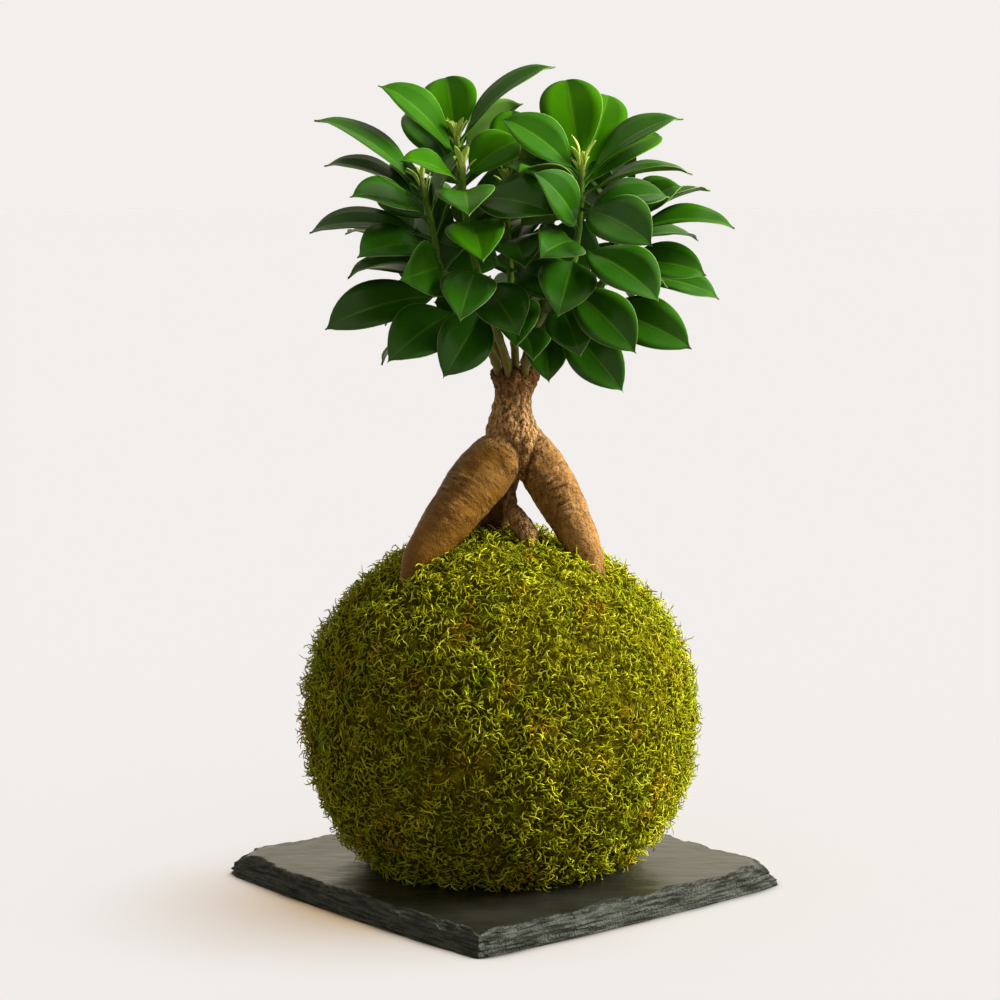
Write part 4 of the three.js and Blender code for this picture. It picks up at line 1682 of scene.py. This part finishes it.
@dataclass(frozen=True)
class Blade:
    """The form that every leaf shares, in millimetres and degrees."""

    stalk_end: float = 0.15
    stalk_half: float = 0.8
    tip_half: float = 0.3
    arch: float = 0.09
    fold: float = math.radians(14)
    packed_thick: float = 0.8
    thick: float = 0.52
    widen: float = 1.10
    cells_along: int = 26
    cells_across: int = 8

    def share(self, along: np.ndarray) -> np.ndarray:
        """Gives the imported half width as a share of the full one, from the stalk's end to the tip."""
        return np.sin(np.pi * np.clip(along, 0, 1) ** 1.25).clip(0) ** 0.66

    def outline(self, along: np.ndarray, blunt: float) -> np.ndarray:
        """Gives the real blade's half width as a share of the full one.

        Args:
            along: The place on the blade, from the stalk's end, 0, to the tip, 1.
            blunt: 1 for a young leaf's round end and 0 for one drawn out to a small point.

        Returns:
            The share at each place.
        """
        reach = 0.965 + 0.035 * blunt
        body = np.sin(np.pi * np.clip(along / reach, 0, 1) ** 1.2).clip(0) ** (0.64 - 0.06 * blunt)
        point = (1 - blunt) * 0.20 * np.clip((1 - along) / 0.2, 0, 1) * (along > 0.5)
        return (body**3 + point**3) ** (1 / 3)

    def packed_points(self, pose: LeafPose) -> np.ndarray:
        """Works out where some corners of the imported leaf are, if it stands like this.

        Args:
            pose: How the leaf stands.

        Returns:
            Five points in millimetres, one in each row.
        """
        chord, face, side = pose.frame()
        length = np.linalg.norm(chord)
        found = []
        for place, hand in ((0.56, 1), (0.56, -1), (0.82, 1), (0.82, -1), (1.0, 1)):
            along = (place - self.stalk_end) / (1 - self.stalk_end)
            half = max(self.tip_half, pose.width / 2 * float(self.share(np.array(along))))
            rib = pose.base + chord * place + face * self.arch * length * math.sin(math.pi * place)
            rise = math.sin(self.fold) * half + self.packed_thick / 2
            found.append(rib + side * math.cos(self.fold) * half * hand + face * rise)
        return np.array(found)

    def model(self) -> bpy.types.Object:
        """Models one flat leaf: 0 to 1 along X, -1 to 1 across Y, with its two faces at Z 1 and -1.

        Returns:
            The leaf, with a UV map that runs along and across it.
        """
        deselect()
        bpy.ops.mesh.primitive_grid_add(
            x_subdivisions=self.cells_along,
            y_subdivisions=self.cells_across,
            size=2,
            location=(0.5, 0, 0),
        )
        leaf = named("leaf_model")
        leaf.scale = (0.5, 1, 1)
        bake_place(leaf)
        apply_modifier(leaf, "SOLIDIFY", thickness=2, offset=0)
        points = read_points(leaf)
        across = points[:, 1]
        points[:, 1] = np.sign(across) * (0.35 * np.abs(across) + 0.65 * np.abs(across) ** 2)
        points[:, 1] = np.where(np.abs(across) > 0.99, np.sign(across), points[:, 1])
        blade = np.clip((points[:, 0] - 0.13) / 0.87, 0, 1)
        blade = 0.35 * blade + 0.65 * (0.5 - 0.5 * np.cos(np.pi * blade))
        stalk = points[:, 0] / 0.13 * self.stalk_end
        points[:, 0] = np.where(points[:, 0] < 0.13, stalk, self.stalk_end + (1 - self.stalk_end) * blade)
        write_points(leaf, points)
        uv = leaf.data.uv_layers.new(name="blade")
        corners = np.zeros(len(leaf.data.loops), np.int32)
        leaf.data.loops.foreach_get("vertex_index", corners)
        flat = np.column_stack([points[corners, 0], points[corners, 1] / 2 + 0.5])
        uv.data.foreach_set("uv", flat.astype(np.float32).ravel())
        under = [float(all(points[v, 2] < 0 for v in face.vertices)) for face in leaf.data.polygons]
        store(leaf.data, "under", np.array(under), "FACE")
        bpy.ops.object.shade_smooth()
        return leaf

    def fitted(self, model: np.ndarray, pose: LeafPose, seed: int) -> np.ndarray:
        """Bends the flat leaf to the way that one leaf stands.

        Args:
            model: The flat leaf's points.
            pose: How the leaf stands.
            seed: The leaf's number, for its own small waves.

        Returns:
            The points in metres.
        """
        chord, face, side = pose.frame()
        length = np.linalg.norm(chord)
        place, across, layer = model[:, 0], model[:, 1], np.sign(model[:, 2])
        along = np.clip((place - self.stalk_end) / (1 - self.stalk_end), 0, 1)
        blunt = float(smooth_step(0.65, 0.80, pose.young))
        size = min(1.0, pose.width / 14)
        stalk = self.stalk_half * size * (1 - 0.3 * smooth_step(0.02, 0.12, place))
        stalk = stalk * (1 - 0.9 * smooth_step(0.15, 0.4, place))
        half = np.maximum(stalk, pose.width / 2 * self.widen * self.outline(along, blunt))
        blade = smooth_step(self.stalk_end - 0.02, self.stalk_end + 0.10, place)
        out = half * across * (1 - blade * (1 - math.cos(self.fold)))
        lift = math.sin(self.fold) * half * np.abs(across) ** 1.25 * blade
        ripple = np.sin(along * (7 + 3 * chance(seed)) + 6.28 * chance(seed + 1) + across)
        wave = 0.35 * size * blade * across**2 * ripple
        round_stalk = np.minimum(half, self.stalk_half * size) * np.sqrt(np.clip(1 - across**2, 0, 1))
        flat_blade = self.thick / 2 * (1 - 0.55 * across**2)
        thick = layer * ((1 - blade) * round_stalk + blade * flat_blade)
        rib = np.exp(-((out / 0.7) ** 2)) * blade * (1 - 0.6 * along) * size
        groove = -0.26 * rib - 0.30 * rib * (layer < 0)
        hook = -1.5 * (1 - blunt) * size * smooth_step(0.86, 1.0, along) * along
        rise = lift + thick + groove + wave + hook
        bow = self.arch * length * np.sin(np.pi * place)
        points = pose.base + chord * place[:, None] + face * (bow + rise)[:, None] + side * out[:, None]
        return points * MM


@dataclass
class Crown:
    """All the leafy shoots, each with its stem, leaves and bud.

    The tuples of a sprout's sizes hold the least value and how much chance adds to it.
    """

    blade: Blade = field(default_factory=Blade)
    eye: np.ndarray = field(default_factory=lambda: np.array([-1.0, -993.0, 265.0]))
    nearer: tuple[int, ...] = (0, -3, 3, -6, 6, -9, 9, -12, 12)
    turned: tuple[int, ...] = (0, 8, -8, 16, -16)
    lifted: tuple[int, ...] = (0, -12, 12, -24, 24)
    aside: tuple[int, ...] = (0, 15, -15, 30, -30)
    golden_turn: float = 137.5
    leaf_length: float = 40.0
    rise_top: float = 62.0
    rise_foot: float = -32.0
    lowest_tip: float = 198.0
    axis: np.ndarray = field(default_factory=lambda: np.array([5.0, -6.0, 0.0]))
    close_enough: float = 0.06
    sprout_count: int = 6
    sprout_length: tuple[float, float] = (6, 5)
    sprout_width: tuple[float, float] = (1.7, 1.3)
    sprout_spread: tuple[float, float] = (14, 34)
    stem_rows: int = 44
    stem_radii: tuple[float, float] = (1.85, 1.2)
    scar_every: int = 5
    bud_rises: tuple[float, ...] = (1.0, 2.6, 4.4, 6.0, 7.0)
    bud_radii: tuple[float, ...] = (1.30, 1.20, 0.95, 0.55, 0.12)

    def placed_ways(self, line: SmoothLine, leaf: PlacedLeaf) -> list[LeafPose]:
        """Lists the ways that a listed leaf may stand, in the order that they were tried."""
        place = np.array(leaf.tip, float)
        sight = unit(place - self.eye)
        front = np.array([0.0, -1.0, 0.0])
        base = line.point(leaf.share)
        return [
            LeafPose(base, place + sight * depth, leaf.width, leaf.tilt + turn, front, leaf.young)
            for depth in self.nearer
            for turn in self.turned
        ]

    def rule_ways(self, line: SmoothLine, rule: LeafRule, shoot: int, index: int) -> list[LeafPose]:
        """Lists the ways that a leaf placed by rule may stand, in the order that they were tried.

        Args:
            line: The stem.
            rule: The shoot's rule.
            shoot: The shoot's number.
            index: The leaf's number on it.

        Returns:
            The ways.
        """
        down = index / (rule.count - 1)
        draw = [2 * chance(1000 * shoot + 10 * index + k) - 1 for k in range(5)]
        share = rule.top + (rule.bottom - rule.top) * down
        base = line.point(share)
        length = self.leaf_length * (0.98 + 0.08 * draw[2]) * (0.85 if index < 2 else 1)
        young = float(smooth_step(0.80, 1.0, share)) * 0.8
        ways = []
        for up in self.lifted:
            for aside in self.aside:
                turn = math.radians(rule.turn + self.golden_turn * index + 10 * draw[0] + aside)
                rise = self.rise_top + (self.rise_foot - self.rise_top) * down**0.9 + 8 * draw[1] + up
                rise = math.radians(rise)
                back = math.sin(turn) if rule.front else abs(math.sin(turn))
                level = math.cos(rise)
                heading = np.array([math.cos(turn) * level, back * level, math.sin(rise)])
                tip = base + heading * length
                outward = base * 0.4 + tip * 0.6 - self.axis
                outward[2] = 0
                pose = LeafPose(base, tip, 18.5 + 1.5 * draw[3], 38 + 14 * draw[4], unit(outward), young)
                if tip[2] > self.lowest_tip:
                    ways.append(pose)
        return ways

    def as_packed(self, ways: Sequence[LeafPose], surface: BVHTree) -> LeafPose | None:
        """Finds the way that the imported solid's leaf stands.

        Args:
            ways: The ways that it may stand.
            surface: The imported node's surface.

        Returns:
            The first way whose corners all lie on the surface, or None if the leaf isn't there.
        """
        for pose in ways:
            corners = self.blade.packed_points(pose) * MM
            gaps = (surface.find_nearest(Vector(corner))[3] for corner in corners)
            if all(gap < self.close_enough * MM for gap in gaps):
                return pose
        return None

    def leaves(self, name: str, shoot: int, node: bpy.types.Object) -> list[LeafPose]:
        """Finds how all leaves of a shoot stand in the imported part."""
        stem, placed, rule = SHOOTS[name]
        line = SmoothLine(stem)
        surface = BVHTree.FromPolygons(
            [v.co for v in node.data.vertices], [face.vertices for face in node.data.polygons]
        )
        ways = [self.placed_ways(line, leaf) for leaf in placed]
        ways += [self.rule_ways(line, rule, shoot, i) for i in range(rule.count)] if rule else []
        found = [self.as_packed(each, surface) for each in ways]
        return [pose for pose in found if pose]

    def sprouts(self, name: str, shoot: int) -> list[LeafPose]:
        """Lists the small pale leaves that open round a shoot's bud.

        Args:
            name: The shoot's node.
            shoot: Its number.

        Returns:
            How each of them stands.
        """
        line = SmoothLine(SHOOTS[name][0])
        end = line.point(1.0)
        heading = unit(end - line.point(0.95))
        side = unit(np.cross(heading, (0.3, 1.0, 0.1)))
        other = np.cross(heading, side)
        poses = []
        for index in range(self.sprout_count):
            draw = [chance(7000 + 100 * shoot + 10 * index + k) for k in range(4)]
            turn = self.golden_turn * index + 40 * draw[0]
            round_stem = side * math.cos(math.radians(turn)) + other * math.sin(math.radians(turn))
            spread, length, width = (
                least + more * drawn
                for (least, more), drawn in zip(
                    (self.sprout_spread, self.sprout_length, self.sprout_width), draw[1:]
                )
            )
            spread = math.radians(spread)
            base = end + heading * (2.5 - 0.9 * index) + round_stem * 0.9
            tip = base + (heading * math.cos(spread) + round_stem * math.sin(spread)) * length
            outward = -unit(round_stem * (1, 1, 0))
            poses.append(LeafPose(base, tip, width, 90, outward, 1.25 + 0.3 * draw[1]))
        return poses

    def build_leaves(
        self, name: str, shoot: int, node: bpy.types.Object, model: bpy.types.Object
    ) -> bpy.types.Object:
        """Models the leaves of one shoot, each a copy of the one leaf.

        Args:
            name: The shoot's node.
            shoot: Its number.
            node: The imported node.
            model: The flat leaf.

        Returns:
            The finished piece.
        """
        flat = read_points(model)
        grown = self.leaves(name, shoot, node)
        copies = []
        for i, pose in enumerate(grown + self.sprouts(name, shoot)):
            activate(model)
            bpy.ops.object.duplicate()
            leaf = named(f"{name}_leaf_{i}")
            seed = 100 * shoot + i
            write_points(leaf, self.blade.fitted(flat, pose, seed))
            young = pose.young + 0.10 * chance(seed + 7)
            store(leaf.data, "young", np.full(len(flat), young))
            copies.append(leaf)
        deselect()
        for leaf in copies:
            leaf.select_set(True)
        bpy.context.view_layer.objects.active = copies[0]
        bpy.ops.object.join()
        LOG.info("%s has %d leaves", name, len(grown))
        return named(name.replace("shoot", "leaves"))

    def build_stem(self, name: str) -> bpy.types.Object:
        """Models one stem with its leaf scars and bud, as a round curve made a mesh.

        Args:
            name: The shoot's node.

        Returns:
            The finished piece.
        """
        count = self.stem_rows
        rows = SmoothLine(SHOOTS[name][0]).samples(count)
        heading = unit(rows[-1] - rows[-2])
        bud = [rows[-1] + heading * reach for reach in self.bud_rises]
        foot, top = self.stem_radii
        radii = [foot + (top - foot) * i / (count - 1) for i in range(count)]
        radii = [radius * (1.16 if i % self.scar_every == 2 else 0.95) for i, radius in enumerate(radii)]
        radii += self.bud_radii
        points = np.concatenate([rows, bud]) * MM
        deselect()
        bpy.ops.curve.primitive_nurbs_path_add()
        curve = bpy.context.object
        curve.data.splines.clear()
        spline = curve.data.splines.new("POLY")
        spline.points.add(len(points) - 1)
        for row, point, radius in zip(spline.points, points, radii):
            row.co = (*point, 1)
            row.radius = radius
        curve.data.bevel_depth = MM
        curve.data.bevel_resolution = 2
        curve.data.use_fill_caps = True
        bpy.ops.object.convert(target="MESH")
        piece = named(name.replace("shoot", "stem"))
        piece.location = (0, 0, 0)
        bpy.ops.object.shade_smooth()
        placed = read_points(piece)
        near = ((placed[:, None] - points[None]) ** 2).sum(axis=2).argmin(axis=1)
        store(piece.data, "grown", np.minimum(near / (count - 1), 1.1) * 0.9)
        return piece

    def build(self, nodes: dict[str, bpy.types.Object]) -> None:
        """Models and dresses every shoot."""
        leaf = LeafFinish("fig_leaf").build()
        bark = StemFinish("fig_stem").build()
        model = self.blade.model()
        for shoot, name in enumerate(SHOOTS):
            leaves = self.build_leaves(name, shoot, nodes[name], model)
            hand_over(leaves, "leaf", leaf, name)
            hand_over(self.build_stem(name), "leaf", bark)
        bpy.data.objects.remove(model)


def main() -> None:
    """Builds and dresses the whole plant."""
    logging.basicConfig(level=logging.INFO, format="%(message)s")
    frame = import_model()
    nodes = frame["nodes"]
    make_patches()
    make_grain()
    Studio().build()

    slab = SlateSlab("slate_slab")
    slab.dress(slab.build())
    SoilBall("soil_ball").dress(nodes["soil_ball"])
    trunk = Trunk("trunk")
    trunk.dress(trunk.build(nodes["trunk"]))
    moss = MossSkin("moss_skin", floor=slab.thick + 0.0001)
    moss.dress(moss.build_bed(nodes["moss_skin"]), moss.build_strands())
    Crown().build(nodes)

    deselect()


if __name__ == "__main__":
    main()
